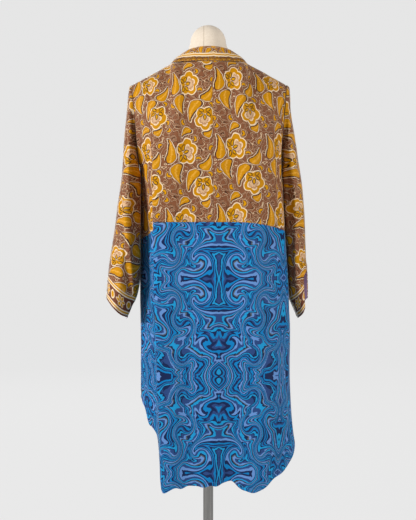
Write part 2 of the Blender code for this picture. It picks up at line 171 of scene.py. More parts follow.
def bodice(u, v):
    """Points of the bodice above the chest, v from 0 at the chest to 1 at its top edge."""
    chest = np.full_like(u, CHEST)
    start = body(u, chest)
    top = top_edge(u)
    behind = (u > PLACE["side_left"]) & (u < PLACE["side_right"])
    facing = np.where(behind, 1.0, -1.0)
    from_side = np.minimum(abs(u - PLACE["side_left"]), abs(u - PLACE["side_right"]))
    inward = smooth_step(from_side / SIDE_REACH)[..., None]
    upward = (start - body(u, chest - SLOPE_STEP)) / SLOPE_STEP * RISE
    bulging = ARMHOLE_CLIMB * (top - start)
    bulging[..., 1] += facing * ARMHOLE_SPREAD
    leave = (1 - inward) * bulging + inward * upward
    over = OVER_ARMHOLE + inward[..., 0] * (OVER_SHOULDER - OVER_ARMHOLE)
    arrive = np.stack([0 * over, -facing * over, 0 * over], axis=-1)
    neck = smooth_step((NECK_POINT_X - abs(top[..., 0])) / (NECK_POINT_X / 2))
    neck = np.where(behind, neck, 0.0)[..., None]
    arrive = (1 - neck) * arrive + neck * np.array([0, -INTO_NECK[0], INTO_NECK[1]])
    return hermite(start, leave, top, arrive, v[..., None])


# How strongly the columns and rows of a bodice grid crowd towards its seams, and how many rows
# lie below and above the chest.
SIDE_CROWD = 0.8
WAIST_CROWD = 1.5
TOP_CROWD = 1.35
LOW_ROWS = 52
HIGH_ROWS = 84


def close_at_ends(count):
    """Places from 0 to 1, closer at both ends, where a seam draws the cloth in."""
    even = np.linspace(0, 1, count)
    return even - SIDE_CROWD / (2 * math.pi) * np.sin(2 * math.pi * even)


def up_to_top(count):
    """Shares of the way from the chest to just under the shoulder seam, closer towards it."""
    share = 1 - (1 - np.linspace(0, 1, count)) ** TOP_CROWD
    return share * (1 - TURNED_SEAM / 2 / OVER_SHOULDER)


def bodice_grid(first, last, columns):
    """Points of a bodice panel between two places round the robe, waist to top, and where they are."""
    u = first + (last - first) * close_at_ends(columns)
    waist = through(AROUND, WAIST_Z, u) + SEAM / 2
    low = (np.linspace(0, 1, LOW_ROWS, endpoint=False) ** WAIST_CROWD)[:, None]
    u_low = np.broadcast_to(u, (LOW_ROWS, columns))
    below = body(u_low, waist + (CHEST - waist) * low)
    u_high = np.broadcast_to(u, (HIGH_ROWS, columns))
    above = bodice(u_high, np.broadcast_to(up_to_top(HIGH_ROWS)[:, None], u_high.shape))
    return np.concatenate([below, above]), u


def outward(points):
    """The way out of the cloth at each point of a grid."""
    across = np.gradient(points, axis=1)
    upward = np.gradient(points, axis=0)
    out = np.cross(across, upward)
    return out / np.maximum(np.linalg.norm(out, axis=-1, keepdims=True), 1e-12)


def run(points, axis, start):
    """How far each point of a grid lies along the cloth from one of its rows or columns."""
    steps = np.linalg.norm(np.diff(points, axis=axis), axis=-1)
    pad = [(1, 0), (0, 0)] if axis == 0 else [(0, 0), (1, 0)]
    length = np.cumsum(np.pad(steps, pad), axis=axis)
    return length - np.take(length, [start], axis=axis)


# The share of a crease's length that fades out at each end, and how blunt its crown is.
CREASE_FADE = 0.3
CREASE_CROWN = 1.6


def creased(points, across, up, creases):
    """The grid with its creases. Each has its places from low to high, its width on the lower and
    on the higher side across, and its height, which is less than 0 in a trough."""
    out = outward(points)
    lift = np.zeros(points.shape[:2])
    for places, low_side, high_side, height in creases:
        at, level = np.array(places, float).T
        middle = through(level, at, np.clip(up, level[0], level[-1]))
        aside = across - middle
        width = np.where(aside < 0, low_side, high_side)
        fade = CREASE_FADE * (level[-1] - level[0])
        strength = smooth_step((up - level[0]) / fade) * smooth_step((level[-1] - up) / fade)
        lift += height * MM * strength * np.exp(-abs(aside / width) ** CREASE_CROWN)
    return points + out * lift[..., None]


def seamed(points, *distances):
    """The grid drawn in by the stitches along its seams, at such distances from each."""
    near = sum(np.exp(-((distance / SEAM_REACH) ** 2)) for distance in distances)
    return points - outward(points) * (SEAM_DEPTH * near)[..., None]


# The slack of limp cloth: how far each seed lies from the next in the noise, how narrow a swell
# is for its length, and how fine and how strong the ripples on the swells are.
SLACK_SEEDS = (7.3, 3.1, 5.7)
SLACK_ACROSS = 0.55
RIPPLE_FINENESS = 2.7
RIPPLE_SHARE = 0.35


def ruffled(points, deep, long, seed):
    """The grid with the small slack of limp cloth: soft swells, longer upward than across."""
    out = outward(points)
    offset = Vector([seed * step for step in SLACK_SEEDS])
    flat = points.reshape(-1, 3) / np.array([long * SLACK_ACROSS, long * SLACK_ACROSS, long])
    swell = [noise.noise(Vector(p) + offset) for p in flat]
    ripple = [noise.noise(Vector(p) * RIPPLE_FINENESS + offset) for p in flat]
    lift = (np.array(swell) + RIPPLE_SHARE * np.array(ripple)).reshape(points.shape[:2])
    return points + out * (deep * lift)[..., None]


def in_place(name, mesh):
    """A mesh put into the scene, riding with the rest of the part."""
    piece = bpy.data.objects.new(name, mesh)
    bpy.context.scene.collection.objects.link(piece)
    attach(piece, "root")
    return piece


def cloth(name, points, reading, finish, reverse, inner=None, border=None):
    """A panel of cloth: a thin wall on a grid of points, with the place of each point on the bolt."""
    rows, columns = points.shape[:2]
    points = points + np.array([SHIFT, 0, 0])
    out = outward(points)
    outside = points + out * CREPE / 2
    inside = points - out * (CREPE / 2 if inner is None else inner[..., None])
    count = rows * columns
    index = np.arange(count).reshape(rows, columns)
    quads = np.stack([index[:-1, :-1], index[:-1, 1:], index[1:, 1:], index[1:, :-1]], axis=-1)
    face = quads.reshape(-1, 4)
    rim = np.concatenate([index[0, :], index[1:, -1], index[-1, -2::-1], index[-2::-1, 0]])
    edge = np.stack([rim[:-1], rim[:-1] + count, rim[1:] + count, rim[1:]], axis=-1)
    faces = np.concatenate([face, face[:, ::-1] + count, edge])
    mesh = bpy.data.meshes.new(name)
    mesh.from_pydata(np.concatenate([outside.reshape(-1, 3), inside.reshape(-1, 3)]), [], faces)
    for title, places in (("cloth", reading), ("border", border)):
        if places is not None:
            both = np.tile(places.reshape(-1, 2), (2, 1))[faces]
            layer = mesh.uv_layers.new(name=title)
            layer.uv.foreach_set("vector", both.astype(np.float32).ravel())
    mesh.materials.append(finish)
    mesh.materials.append(reverse)
    side = np.zeros(len(faces), np.int32)
    side[len(face):2 * len(face)] = 1
    mesh.polygons.foreach_set("material_index", side)
    mesh.shade_smooth()
    mesh.set_sharp_from_angle(angle=SHARP)
    return in_place(name, mesh)


def sewn_in(node):
    """Hides the model's solid that a finished panel takes the place of."""
    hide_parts(node)


# A stitch: its thickness, its length and its step along the row, and its shape, which dips into
# the cloth at both ends.
THREAD = 0.5 * MM
STITCH = 2.5 * MM
STITCH_STEP = 3.1 * MM
STITCH_PLACES = np.array([0.0, 0.2, 0.8, 1.0])
STITCH_LIFTS = np.array([-0.35, 0.2, 0.2, -0.35])
STITCH_SIDES = np.radians([45.0, 135.0, 225.0, 315.0])


def stitches(name, grid, distance, at, thread, turned=False):
    """A row of stitches on a grid of cloth, at one distance from its edge."""
    along = np.concatenate([grid + np.array([SHIFT, 0, 0]), outward(grid)], axis=-1)
    if turned:
        along = along.transpose(1, 0, 2)
        distance = distance.T
    if distance[0, 0] > distance[-1, 0]:
        along = along[::-1]
        distance = distance[::-1]
    columns = zip(along.transpose(1, 2, 0), distance.T)
    line = np.array([[np.interp(at, far, value) for value in column] for column, far in columns])
    length = np.pad(np.cumsum(np.linalg.norm(np.diff(line[:, :3], axis=0), axis=-1)), (1, 0))
    starts = np.arange(STITCH_STEP, length[-1] - STITCH_STEP, STITCH_STEP)
    places = starts[:, None] + STITCH * STITCH_PLACES
    read = np.stack([np.interp(places, length, value) for value in line.T], axis=-1)
    middle = read[..., :3]
    out = read[..., 3:]
    ahead = middle[:, -1:] - middle[:, :1]
    aside = np.cross(out, ahead / np.linalg.norm(ahead, axis=-1, keepdims=True))
    middle = middle + out * (CREPE / 2 + THREAD * STITCH_LIFTS)[:, None]
    s = THREAD / 2 * np.sin(STITCH_SIDES)[:, None]
    c = THREAD / 2 * np.cos(STITCH_SIDES)[:, None]
    verts = middle[:, :, None] + out[:, :, None] * s + aside[:, :, None] * c
    index = np.arange(verts.size // 3).reshape(verts.shape[:3])
    after = np.roll(index, -1, axis=2)
    quads = np.stack([index[:, :-1], index[:, 1:], after[:, 1:], after[:, :-1]], axis=-1)
    faces = np.concatenate([quads.reshape(-1, 4), index[:, 0], index[:, -1, ::-1]])
    mesh = bpy.data.meshes.new(name)
    mesh.from_pydata(verts.reshape(-1, 3), [], faces)
    mesh.materials.append(thread)
    piece = in_place(name, mesh)
    return piece


class Wire:
    """A socket of a material. A sum with it adds Math nodes, and its methods add the other nodes."""

    def __init__(self, tree, socket=None):
        self.tree = tree
        self.socket = socket

    def node(self, kind, settings, values, output=0):
        """Adds a node, its settings first, then the values and links of its sockets."""
        made = self.tree.nodes.new("ShaderNode" + kind)
        for key, value in settings.items():
            if key == "bands":
                made.color_ramp.interpolation = "CONSTANT"
                stops = made.color_ramp.elements
                while len(stops) < len(value):
                    stops.new(1.0)
                for stop, (position, color) in zip(stops, value):
                    stop.position = position
                    stop.color = color
            else:
                setattr(made, key, value)
        for key, value in values.items():
            if isinstance(value, Wire):
                self.tree.links.new(value.socket, made.inputs[key])
            else:
                made.inputs[key].default_value = value
        return Wire(self.tree, made.outputs[output]) if made.outputs else None

    def math(self, operation, *others, clamp=False):
        """A Math node on this and other values."""
        values = dict(enumerate((self, *others)))
        return self.node("Math", {"operation": operation, "use_clamp": clamp}, values)

    def vector(self, operation, *others, output=0):
        """A Vector Math node on this and other vectors."""
        values = dict(enumerate((self, *others)))
        return self.node("VectorMath", {"operation": operation}, values, output)

    def length(self):
        """How long this vector is."""
        return self.vector("LENGTH", output=1)

    def pick(self, first, second):
        """The first colour where this is 0, and the second where it is 1."""
        return self.node("Mix", {"data_type": "RGBA"}, {0: self, 6: first, 7: second}, 2)

    def choose(self, first, second):
        """The first vector where this is 0, and the second where it is 1."""
        return self.node("Mix", {"data_type": "VECTOR"}, {0: self, 4: first, 5: second}, 1)

    def inside(self, edge, soft=0.5):
        """1 where this is below the edge, with a soft border."""
        return self.math("MULTIPLY_ADD", -1 / soft, 0.5 + edge / soft, clamp=True)

    def parts(self):
        """Its three numbers, one by one."""
        return [self.node("SeparateXYZ", {}, {0: self}, i) for i in range(3)]

    def noise(self, scale, detail, kind="2D", output=0, **more):
        """Soft noise at this place: its value, or its colour from output 1."""
        values = {"Vector": self, "Scale": scale, "Detail": detail, **more}
        return self.node("TexNoise", {"noise_dimensions": kind}, values, output)

    def bump(self, strength, distance):
        """The way out of the surface, with this as its height."""
        return self.node("Bump", {}, {"Strength": strength, "Distance": distance, "Height": self})

    def layer(self, name):
        """A place on the bolt, in metres."""
        return self.node("UVMap", {"uv_map": name}, {})

    def in_space(self):
        """A place in the object's own metres."""
        return self.node("TexCoord", {}, {}, 3)

    def surface(self, values):
        """Ends a material with a surface of these values."""
        self.node("OutputMaterial", {}, {"Surface": self.node("BsdfPrincipled", {}, values)})

    def __add__(self, other):
        return self.math("ADD", other)

    def __mul__(self, other):
        return self.math("MULTIPLY", other)

    def __sub__(self, other):
        return self.math("SUBTRACT", other)

    def __rsub__(self, other):
        return self.node("Math", {"operation": "SUBTRACT"}, {0: other, 1: self})

    def __abs__(self):
        return self.math("ABSOLUTE")


def tint(red, green, blue):
    """A colour from the 0 to 255 values that a screen shows."""
    shares = [value / 255 for value in (red, green, blue)]
    return (*[s / 12.92 if s < 0.04045 else ((s + 0.055) / 1.055) ** 2.4 for s in shares], 1.0)


def new_material(name):
    """A bare material, and a wire to start its nodes from."""
    made = bpy.data.materials.new(name)
    made.use_nodes = True
    made.node_tree.nodes.clear()
    return made, Wire(made.node_tree)


GOLD = tint(202, 142, 0)
GOLD_DARK = tint(182, 120, 0)
GOLD_LIGHT = tint(230, 172, 70)
CREAM = tint(232, 212, 180)
TAN = tint(206, 168, 130)
BARK = tint(150, 96, 62)
INK = tint(38, 26, 20)
BROWN = tint(140, 91, 62)
BROWN_DARK = tint(116, 70, 46)
VINE = tint(212, 186, 152)
LEAF_BED = tint(116, 70, 50)
BUD_BED = tint(110, 66, 48)
BUD_RIM = tint(206, 178, 140)
REPEAT = (138.0, 186.0)

# The motifs of one repeat, in millimetres from the middle of its first rose: across, up, turned,
# and the scale across and along.
ROSES = ((0, 0, 0, 1.04, 1.32), (47, -96, math.radians(-100), 1.22, 1.06))
LEAVES = (
    (-43, -1, math.radians(3), 12.2, 14.0),
    (-25, -61, math.radians(189), 14.4, 11.6),
    (14, -74, math.radians(155), 13.0, 13.2),
    (56, -30, math.radians(-34), 12.8, 9.8),
    (-6, -134, math.radians(128), 8.6, 6.9),
    (58, -136, math.radians(-50), 9.0, 5.8),
)
BUDS = (
    (25, 34, 3.1, 1.15, 1.15),
    (61, 15, -0.6, 1.15, 1.15),
    (32, -14, -1.6, 1.1, 1.1),
    (-50, -68, 0.8, 1.15, 1.15),
    (68, -55, -2.4, 1.15, 1.15),
    (-54, -108, 3.6, 1.15, 1.15),
    (-18, -110, 0.3, 1.15, 1.15),
    (-48, -133, 2.6, 1.25, 1.0),
)


def nearest(place, sites):
    """The place as seen from the nearest of the repeat's like motifs, in its size and turn."""
    best = None
    least = None
    for x, y, turn, wide, tall in sites:
        high = (x + REPEAT[0] / 2, y + REPEAT[1] / 2, 2)
        low = (x - REPEAT[0] / 2, y - REPEAT[1] / 2, 0)
        near = place.vector("WRAP", high, low)
        values = {0: near, 1: (x, y, 0), 2: (0, 0, turn), 3: (wide, tall, 1000 / wide)}
        seen = near.node("Mapping", {"vector_type": "TEXTURE"}, values)
        far = seen.length()
        if best is None:
            best = seen
            least = far
        else:
            closer = far.math("LESS_THAN", least)
            best = closer.choose(best, seen)
            least = least.math("MINIMUM", far)
    return best


def from_here(x, y, ahead=0.0):
    """How far a place is from the middle, and its angle from the way ahead."""
    return (x * x + y * y).math("SQRT"), y.math("ARCTAN2", x) - ahead


def petals(far, angle, step, last, middle, long, wide):
    """How far a place is outside a fan of pointed petals, less than 0 inside one, in millimetres."""
    turn = angle.math("WRAP", step / 2, -step / 2)
    along = (far * turn.math("COSINE") - middle) * (1 / long)
    across = far * turn.math("SINE")
    beyond = abs(angle).math("GREATER_THAN", last)
    return (along * along - 1) * wide + abs(across) + beyond * 99


# The tendrils run along two levels of a noise that is read on two hoops, one across the repeat and
# one up it, so that they join up from repeat to repeat.
HOOP_ACROSS = 1.05
HOOP_UP = 1.40
VINE_FINENESS = 1.5
VINE_LEVEL = 0.060
VINE_WIDTH = 0.010
VINE_STRENGTH = 0.85


def vines(color, place, dot):
    """Looping tendrils that join the motifs, with ink dots along one side."""
    x, y, _ = place.parts()
    spin_x = x * (2 * math.pi / REPEAT[0])
    spin_y = y * (2 * math.pi / REPEAT[1])
    ring = {
        0: spin_x.math("COSINE") * HOOP_ACROSS,
        1: spin_x.math("SINE") * HOOP_ACROSS,
        2: spin_y.math("COSINE") * HOOP_UP,
    }
    hoop = place.node("CombineXYZ", {}, ring)
    field = hoop.noise(VINE_FINENESS, 0.0, "4D", W=spin_y.math("SINE") * HOOP_UP)
    loops = abs(field - 0.5) - VINE_LEVEL
    color = (abs(loops).inside(VINE_WIDTH, 0.007) * VINE_STRENGTH).pick(color, VINE)
    beside = loops.inside(0.062, 0.01) * (1 - loops.inside(0.020, 0.01))
    return (beside * dot * VINE_STRENGTH).pick(color, INK)


# A leaf is drawn in its own scale, as a cone with a round foot, bent along a curve.
LEAF_LONG = 3.4
LEAF_FOOT = 1.24
LEAF_BEND = 0.115
LEAF_TAPER = 0.92
LEAF_SLANT = -0.0827
LEAF_BED_REACH = 5.4


def leaves(color, place, shade, dot):
    """Bent, pointed leaves with a pale outline, an ink rim down one side and a light vein."""
    leaf_x, leaf_y, size = nearest(place, LEAVES).parts()
    bent = (leaf_y * leaf_y).math("MULTIPLY_ADD", LEAF_BEND, leaf_x) - 0.2
    up = leaf_y + LEAF_FOOT
    share = up.math("MULTIPLY_ADD", 1 / LEAF_LONG, abs(bent) * LEAF_SLANT)
    share = share.math("ADD", 0.0, clamp=True)
    over = share.math("MULTIPLY_ADD", -LEAF_LONG, up)
    reach = (bent * bent + over * over).math("SQRT")
    off = (share.math("MULTIPLY_ADD", LEAF_TAPER, reach) - 1) * (size * 1000)
    near_side = bent.inside(0.0, 0.8)
    outline = abs(off - near_side * 1.9 - 2.3)
    color = off.inside(LEAF_BED_REACH, 0.8).pick(color, LEAF_BED)
    color = outline.inside(0.85, 0.5).pick(color, CREAM)
    rim = abs(off - 1.9).inside(1.7, 0.6)
    color = (rim * dot * near_side).pick(color, INK)
    color = off.inside(0.0).pick(color, shade.pick(GOLD_DARK, GOLD))
    vein = abs(bent + (shade - 0.5) * 0.9).inside(0.13, 0.2) * off.inside(-1.6, 1.0)
    return (vein * 0.75).pick(color, GOLD_LIGHT)


# A bud's wings: their angle off the middle, and where, how long and how wide they are.
WING_ANGLE = 0.78
WING_MIDDLE = 3.8
WING_LONG = 5.0
WING_WIDE = 2.6


def buds(color, place):
    """Small buds of two wings, with an ink notch between them."""
    bud_x, bud_y, _ = nearest(place, BUDS).parts()
    far, angle = from_here(bud_x, bud_y)
    turn = abs(angle) - WING_ANGLE
    along = (far * turn.math("COSINE") - WING_MIDDLE) * (1 / WING_LONG)
    wings = (along * along - 1) * WING_WIDE + abs(far * turn.math("SINE"))
    notch = (abs(bud_y) * 1.3 - bud_x).math("MAXIMUM", bud_x - 7.4) + 0.9
    color = wings.inside(2.4, 0.8).pick(color, BUD_BED)
    color = (abs(wings - 3.0).inside(0.6, 0.5) * 0.9).pick(color, BUD_RIM)
    color = wings.inside(0.0, 0.6).pick(color, GOLD)
    return (notch.inside(0.0, 0.6) * (1 - wings.inside(0.4, 0.6))).pick(color, INK)


# A rose: half the number of its lobes, and how deep they are and the radius between them, in its
# ring and in its heart. Then the same for the frills of the line that is scribbled in the heart.
LOBES = 2.5
RING = (6.2, 19.8)
HEART = (5.6, 10.6)
FRILLS = 6.5
SCRIBBLE = (3.2, 7.6)


def roses(color, place, shade):
    """Five-lobed roses: a gold ring, a pale heart with a scribbled line, and a spray of petals."""
    rose_x, rose_y, _ = nearest(place, ROSES).parts()
    far, angle = from_here(rose_x, rose_y, 0.3)
    lobe = abs((angle * LOBES).math("COSINE"))
    edge = far - lobe * RING[0] - RING[1]
    inner, _ = from_here(rose_x - 2.6, rose_y + 1.6)
    heart = inner - lobe * HEART[0] - HEART[1]
    frill = abs((angle * FRILLS).math("COSINE"))
    line = abs(inner - frill * SCRIBBLE[0] - SCRIBBLE[1]).inside(0.9, 0.5)
    scribble = line * (1 - rose_x.inside(0.0, 5.0))
    color = edge.inside(2.3).pick(color, CREAM)
    color = edge.inside(0.0).pick(color, shade.pick(GOLD_DARK, GOLD))
    color = heart.inside(0.0).pick(color, CREAM)
    color = heart.inside(-2.0, 0.6).pick(color, TAN)
    color = scribble.pick(color, BARK)
    far, angle = from_here(rose_x + 12.5, rose_y + 3.5, 0.25)
    spray = petals(far, angle, step=math.pi / 3, last=2.62, middle=11.0, long=5.8, wide=2.7)
    color = spray.inside(1.8, 0.5).pick(color, INK)
    return spray.inside(0.0).pick(color, GOLD)


# How far soft noise shifts the drawing about, in millimetres.
WOBBLE = 3.4


def flowers(reading):
    """The flower and leaf print, from a place on the bolt in metres."""
    flat = reading.vector("MULTIPLY_ADD", (1000, 1000, 0), (0, 0, 1))
    place = flat.noise(0.09, 1.0, output=1).vector("MULTIPLY_ADD", (WOBBLE, WOBBLE, 0), flat)
    shade = flat.noise(0.35, 2.0)
    speck = {"Vector": place, "Scale": 0.28, "Randomness": 0.6}
    dot = place.node("TexVoronoi", {"voronoi_dimensions": "2D"}, speck).inside(0.42, 0.12)
    color = vines(shade.pick(BROWN_DARK, BROWN), place, dot)
    color = leaves(color, place, shade, dot)
    color = buds(color, place)
    return roses(color, place, shade)


# How fine the crinkles and the puckers of the crepe are, and how high the puckers stand for them.
CRINKLE = 900.0
PUCKER = 38.0
PUCKER_HEIGHT = 6.0
ROUGH_SPREAD = 0.16


def crepe(color, reading, rough=0.58):
    """The surface of silk crepe under its print: fine crinkled grain, a soft sheen."""
    crinkle = reading.noise(CRINKLE, 2.0, Roughness=0.7)
    relief = reading.noise(PUCKER, 2.5).math("MULTIPLY_ADD", PUCKER_HEIGHT, crinkle)
    reading.surface(
        {
            "Base Color": color,
            "Roughness": crinkle.math("MULTIPLY_ADD", ROUGH_SPREAD, rough - ROUGH_SPREAD / 2),
            "Normal": relief.bump(0.35, 0.2 * MM),
            "Sheen Weight": 0.9,
            "Sheen Roughness": 0.22,
            "Specular IOR Level": 0.10,
        }
    )


LILAC_DEEP = tint(184, 164, 208)
LILAC_PALE = tint(228, 214, 240)


def washed(print_color, reading, share):
    """The reverse of the crepe: lilac, with a share of the print showing through."""
    ground = reading.noise(30.0, 3.0).pick(LILAC_DEEP, LILAC_PALE)
    shown = {0: share, 6: ground, 7: print_color}
    crepe(ground.node("Mix", {"data_type": "RGBA"}, shown, 2), reading, 0.66)


floral, start = new_material("floral_crepe")
reading = start.layer("cloth")
crepe(flowers(reading), reading)

lilac, start = new_material("floral_reverse")
reading = start.layer("cloth")
washed(flowers(reading), reading, 0.22)


def spun_thread(name, low, high):
    """Sewing thread: fine twisted filament with a soft gloss."""
    made, start = new_material(name)
    twist = start.in_space().noise(1800.0, 1.0, "3D")
    start.surface(
        {
            "Base Color": twist.pick(low, high),
            "Roughness": twist * 0.2 + 0.38,
            "Normal": twist.bump(0.5, 0.1 * MM),
        }
    )
    return made


tan_thread = spun_thread("tan_thread", tint(186, 146, 98), tint(224, 190, 140))


def on_bolt(across, up, rose_at, rose_up, turn):
    """The place on the bolt of points that lie so far across and up, from the middle of a rose."""
    across = across - rose_at
    up = up - rose_up
    c = math.cos(turn)
    s = math.sin(turn)
    return np.stack([across * c - up * s, across * s + up * c], axis=-1)


# The creases of the whole robe, in millimetres round it from the centre seam and above the floor.
CREASES = (
    (((-154, 280), (-156, 600), (-156, 882), (-155, 1078), (-151, 1200), (-148, 1340)), 4, 15, 7.0),
    (((-163, 330), (-165, 620), (-165, 900), (-164, 1100), (-161, 1310)), 8, 6, -6.5),
    (((-205, 1275), (-203, 1350)), 6, 9, 4.5),
    (((-186, 1180), (-183, 1335)), 6, 8, -3.0),
    (((-222, 640), (-214, 900), (-222, 1120), (-232, 1260)), 12, 10, 3.5),
    (((-256, 500), (-244, 760), (-250, 1020), (-262, 1200)), 10, 14, -3.5),
    (((-283, 930), (-281, 1100), (-276, 1300)), 6, 9, 2.5),
    (((-96, 980), (-100, 1120), (-82, 1340)), 14, 22, 2.4),
    (((-48, 1010), (-44, 1190)), 13, 16, 1.8),
    (((0, 955), (0, 1395)), 4, 9, -1.4),
    (((30, 1000), (24, 1240)), 14, 12, 1.8),
    (((104, 980), (112, 1150), (84, 1330)), 20, 14, 2.8),
    (((150, 900), (160, 1060), (150, 1240)), 12, 20, 2.6),
    (((176, 1120), (172, 1345)), 8, 7, 3.0),
    (((196, 960), (200, 1120), (192, 1290)), 7, 8, -2.6),
    (((222, 1000), (230, 1120), (224, 1275)), 4, 4, -5.5),
    (((246, 980), (249, 1120), (244, 1300)), 7, 8, 2.0),
    (((260, 940), (265, 1120), (258, 1330)), 4, 5, -6.0),
    (((-110, 285), (-104, 480), (-98, 700)), 12, 20, 2.8),
    (((-62, 268), (-52, 460), (-46, 720)), 24, 16, 2.6),
    (((-24, 262), (-16, 420)), 12, 14, -2.0),
    (((40, 265), (46, 420), (40, 640)), 16, 24, 2.8),
    (((92, 255), (100, 440), (96, 700)), 14, 18, -2.2),
    (((132, 262), (144, 420), (138, 600)), 16, 14, 3.0),
    (((178, 300), (190, 450), (178, 680)), 10, 16, 4.0),
    (((206, 320), (214, 480), (204, 640)), 9, 10, -3.0),
    (((240, 380), (246, 540), (232, 760)), 12, 14, 3.4),
    (((272, 430), (270, 620), (262, 860)), 9, 12, -3.0),
    (((-481, 420), (-482, 640), (-478, 860)), 12, 14, -2.4),
    (((-437, 400), (-440, 700), (-446, 1010), (-442, 1330)), 14, 10, 3.0),
    (((-404, 440), (-410, 720), (-400, 1000)), 10, 14, -2.6),
    (((-358, 450), (-366, 700), (-356, 980), (-352, 1260)), 16, 12, 2.8),
    (((-322, 470), (-326, 760), (-318, 1080)), 9, 12, -2.6),
    (((326, 470), (322, 720), (330, 1080)), 10, 9, -2.8),
    (((372, 440), (366, 700), (374, 1000), (382, 1320)), 12, 16, 3.0),
    (((410, 430), (416, 760), (404, 1060)), 12, 9, -2.4),
    (((452, 400), (462, 700), (448, 1010), (456, 1300)), 12, 15, 3.2),
    (((494, 440), (500, 700), (496, 900)), 10, 12, -2.2),
)

# How deep and how long the slack of the body is, in metres.
BODY_SLACK = (1.6 * MM, 0.12)


def hung(points, u, along_seams, seed):
    """The grid of a body panel with its creases, its slack and its seams."""
    round_mm = np.broadcast_to((u - PLACE["centre_back"]) / MM, points.shape[:2])
    points = creased(points, round_mm, points[..., 2] / MM, CREASES)
    points = ruffled(points, *BODY_SLACK, seed)
    return seamed(points, *along_seams)


# How high a bodice panel was cut, and how much of its rectangle the shaped panel fills.
BODICE_HIGH = 0.50
BODICE_CUT = 0.82


def bodice_panel(name, ends, columns, from_last, print_at, wide, seed):
    """A panel of the bodice, stitched at waist and top, its print set from one upright edge."""
    points, u = bodice_grid(*ends, columns)
    edges = [run(points, 1, 0), run(points, 1, columns - 1)]
    if from_last:
        edges.reverse()
    from_waist = run(points, 0, 0)
    from_top = -run(points, 0, len(points) - 1)
    reading = on_bolt(edges[0], run(points, 0, LOW_ROWS), *print_at)
    points = hung(points, u, (*edges, from_waist, from_top), seed)
    piece = cloth(f"{name}_cloth", points, reading, floral, lilac)
    threads = [
        stitches(f"{name}_{row}_thread", points, far, TOPSTITCH, tan_thread)
        for row, far in (("waist", from_waist), ("top", from_top))
    ]
    area = BODICE_CUT * wide * BODICE_HIGH
    sewn_in(f"bodice_{name}")


# Each back's first and last place, whether the centre seam is its last edge, where the middle of a
# rose lies from that seam and above the chest, the cloth's turn off the upright, and its width.
LEFT_BACK = (PLACE["side_left"] + TURNED_SEAM / 2, PLACE["centre_back"] - SEAM / 2)
RIGHT_BACK = (PLACE["centre_back"] + SEAM / 2, PLACE["side_right"] - TURNED_SEAM / 2)
BACKS = {
    "back_left": (LEFT_BACK, True, (-0.069, 0.048, math.radians(1.5)), 0.36),
    "back_right": (RIGHT_BACK, False, (0.063, 0.062, math.radians(-0.5)), 0.33),
}
BACK_COLUMNS = 150
for name, (ends, from_last, print_at, wide) in BACKS.items():
    bodice_panel(name, ends, BACK_COLUMNS, from_last, print_at, wide, seed=1)

# The two fronts of the bodice, cut from the same printed crepe. They fall from the shoulder
# seams and stand open, each with a long fold beside its front band.
FRONTS = {
    "left": (PLACE["front_edge_left"], PLACE["side_left"] - TURNED_SEAM / 2),
    "right": (PLACE["side_right"] + TURNED_SEAM / 2, PLACE["front_edge_right"]),
}

# Where the middle of a rose lies from each front's first edge and above the chest, and its turn.
FRONT_PRINTS = {"left": (0.085, 0.03, 0.0), "right": (0.12, 0.03, 0.0)}
FRONT_COLUMNS = 96
FRONT_WIDE = 0.26
for side, ends in FRONTS.items():
    bodice_panel(f"front_{side}", ends, FRONT_COLUMNS, False, FRONT_PRINTS[side], FRONT_WIDE, seed=2)

# The skirt: one wide back and two fronts of crepe in a mirrored marbled print, sewn flat to the
# bodice at the waist seam. The back hangs longest and curves up to the side seams.
TEAL = tint(30, 148, 206)
AZURE = tint(14, 124, 190)
PERIWINKLE = tint(100, 144, 206)
SLATE = tint(44, 72, 126)
NAVY = tint(24, 40, 82)
OLIVE = tint(84, 94, 98)
MARBLE = (
    (0.00, NAVY),
    (0.06, AZURE),
    (0.14, NAVY),
    (0.20, PERIWINKLE),
    (0.28, SLATE),
    (0.37, TEAL),
    (0.45, NAVY),
    (0.51, OLIVE),
    (0.55, PERIWINKLE),
    (0.62, SLATE),
    (0.71, NAVY),
    (0.75, TEAL),
    (0.83, NAVY),
    (0.89, AZURE),
    (0.95, SLATE),
)

# Where the print's mirror lines lie: their steps across and up, a level one's height, and an
# upright one's place from the centre seam, in metres.
MIRROR_ACROSS = 0.190
MIRROR_UP = 0.262
MARBLE_TOP = 0.8163
MARBLE_AXIS = -0.014

# How the colours were stirred in one unmirrored cell: the eddies, each with its middle in metres,
# its turn and its reach, and then, where they were poured, the drifts with fineness and reach.
EDDIES = (
    (0.055, 0.045, 1.9, 0.055),
    (0.140, 0.050, -1.7, 0.055),
    (0.095, 0.120, -2.0, 0.050),
    (0.030, 0.165, 1.5, 0.045),
    (0.160, 0.155, 1.9, 0.050),
    (0.095, 0.215, -1.7, 0.050),
)
POURED_AT = (1.7, 3.6, 0)
DRIFTS = ((6.0, 0.10), (14.0, 0.050), (30.0, 0.020))

# The bands of colour: how many to a metre across and up, and how far pools and rags push them.
BANDS_ACROSS = 16.0
BANDS_UP = 8.0
POOLED = 0.9
RAGGED = 0.12


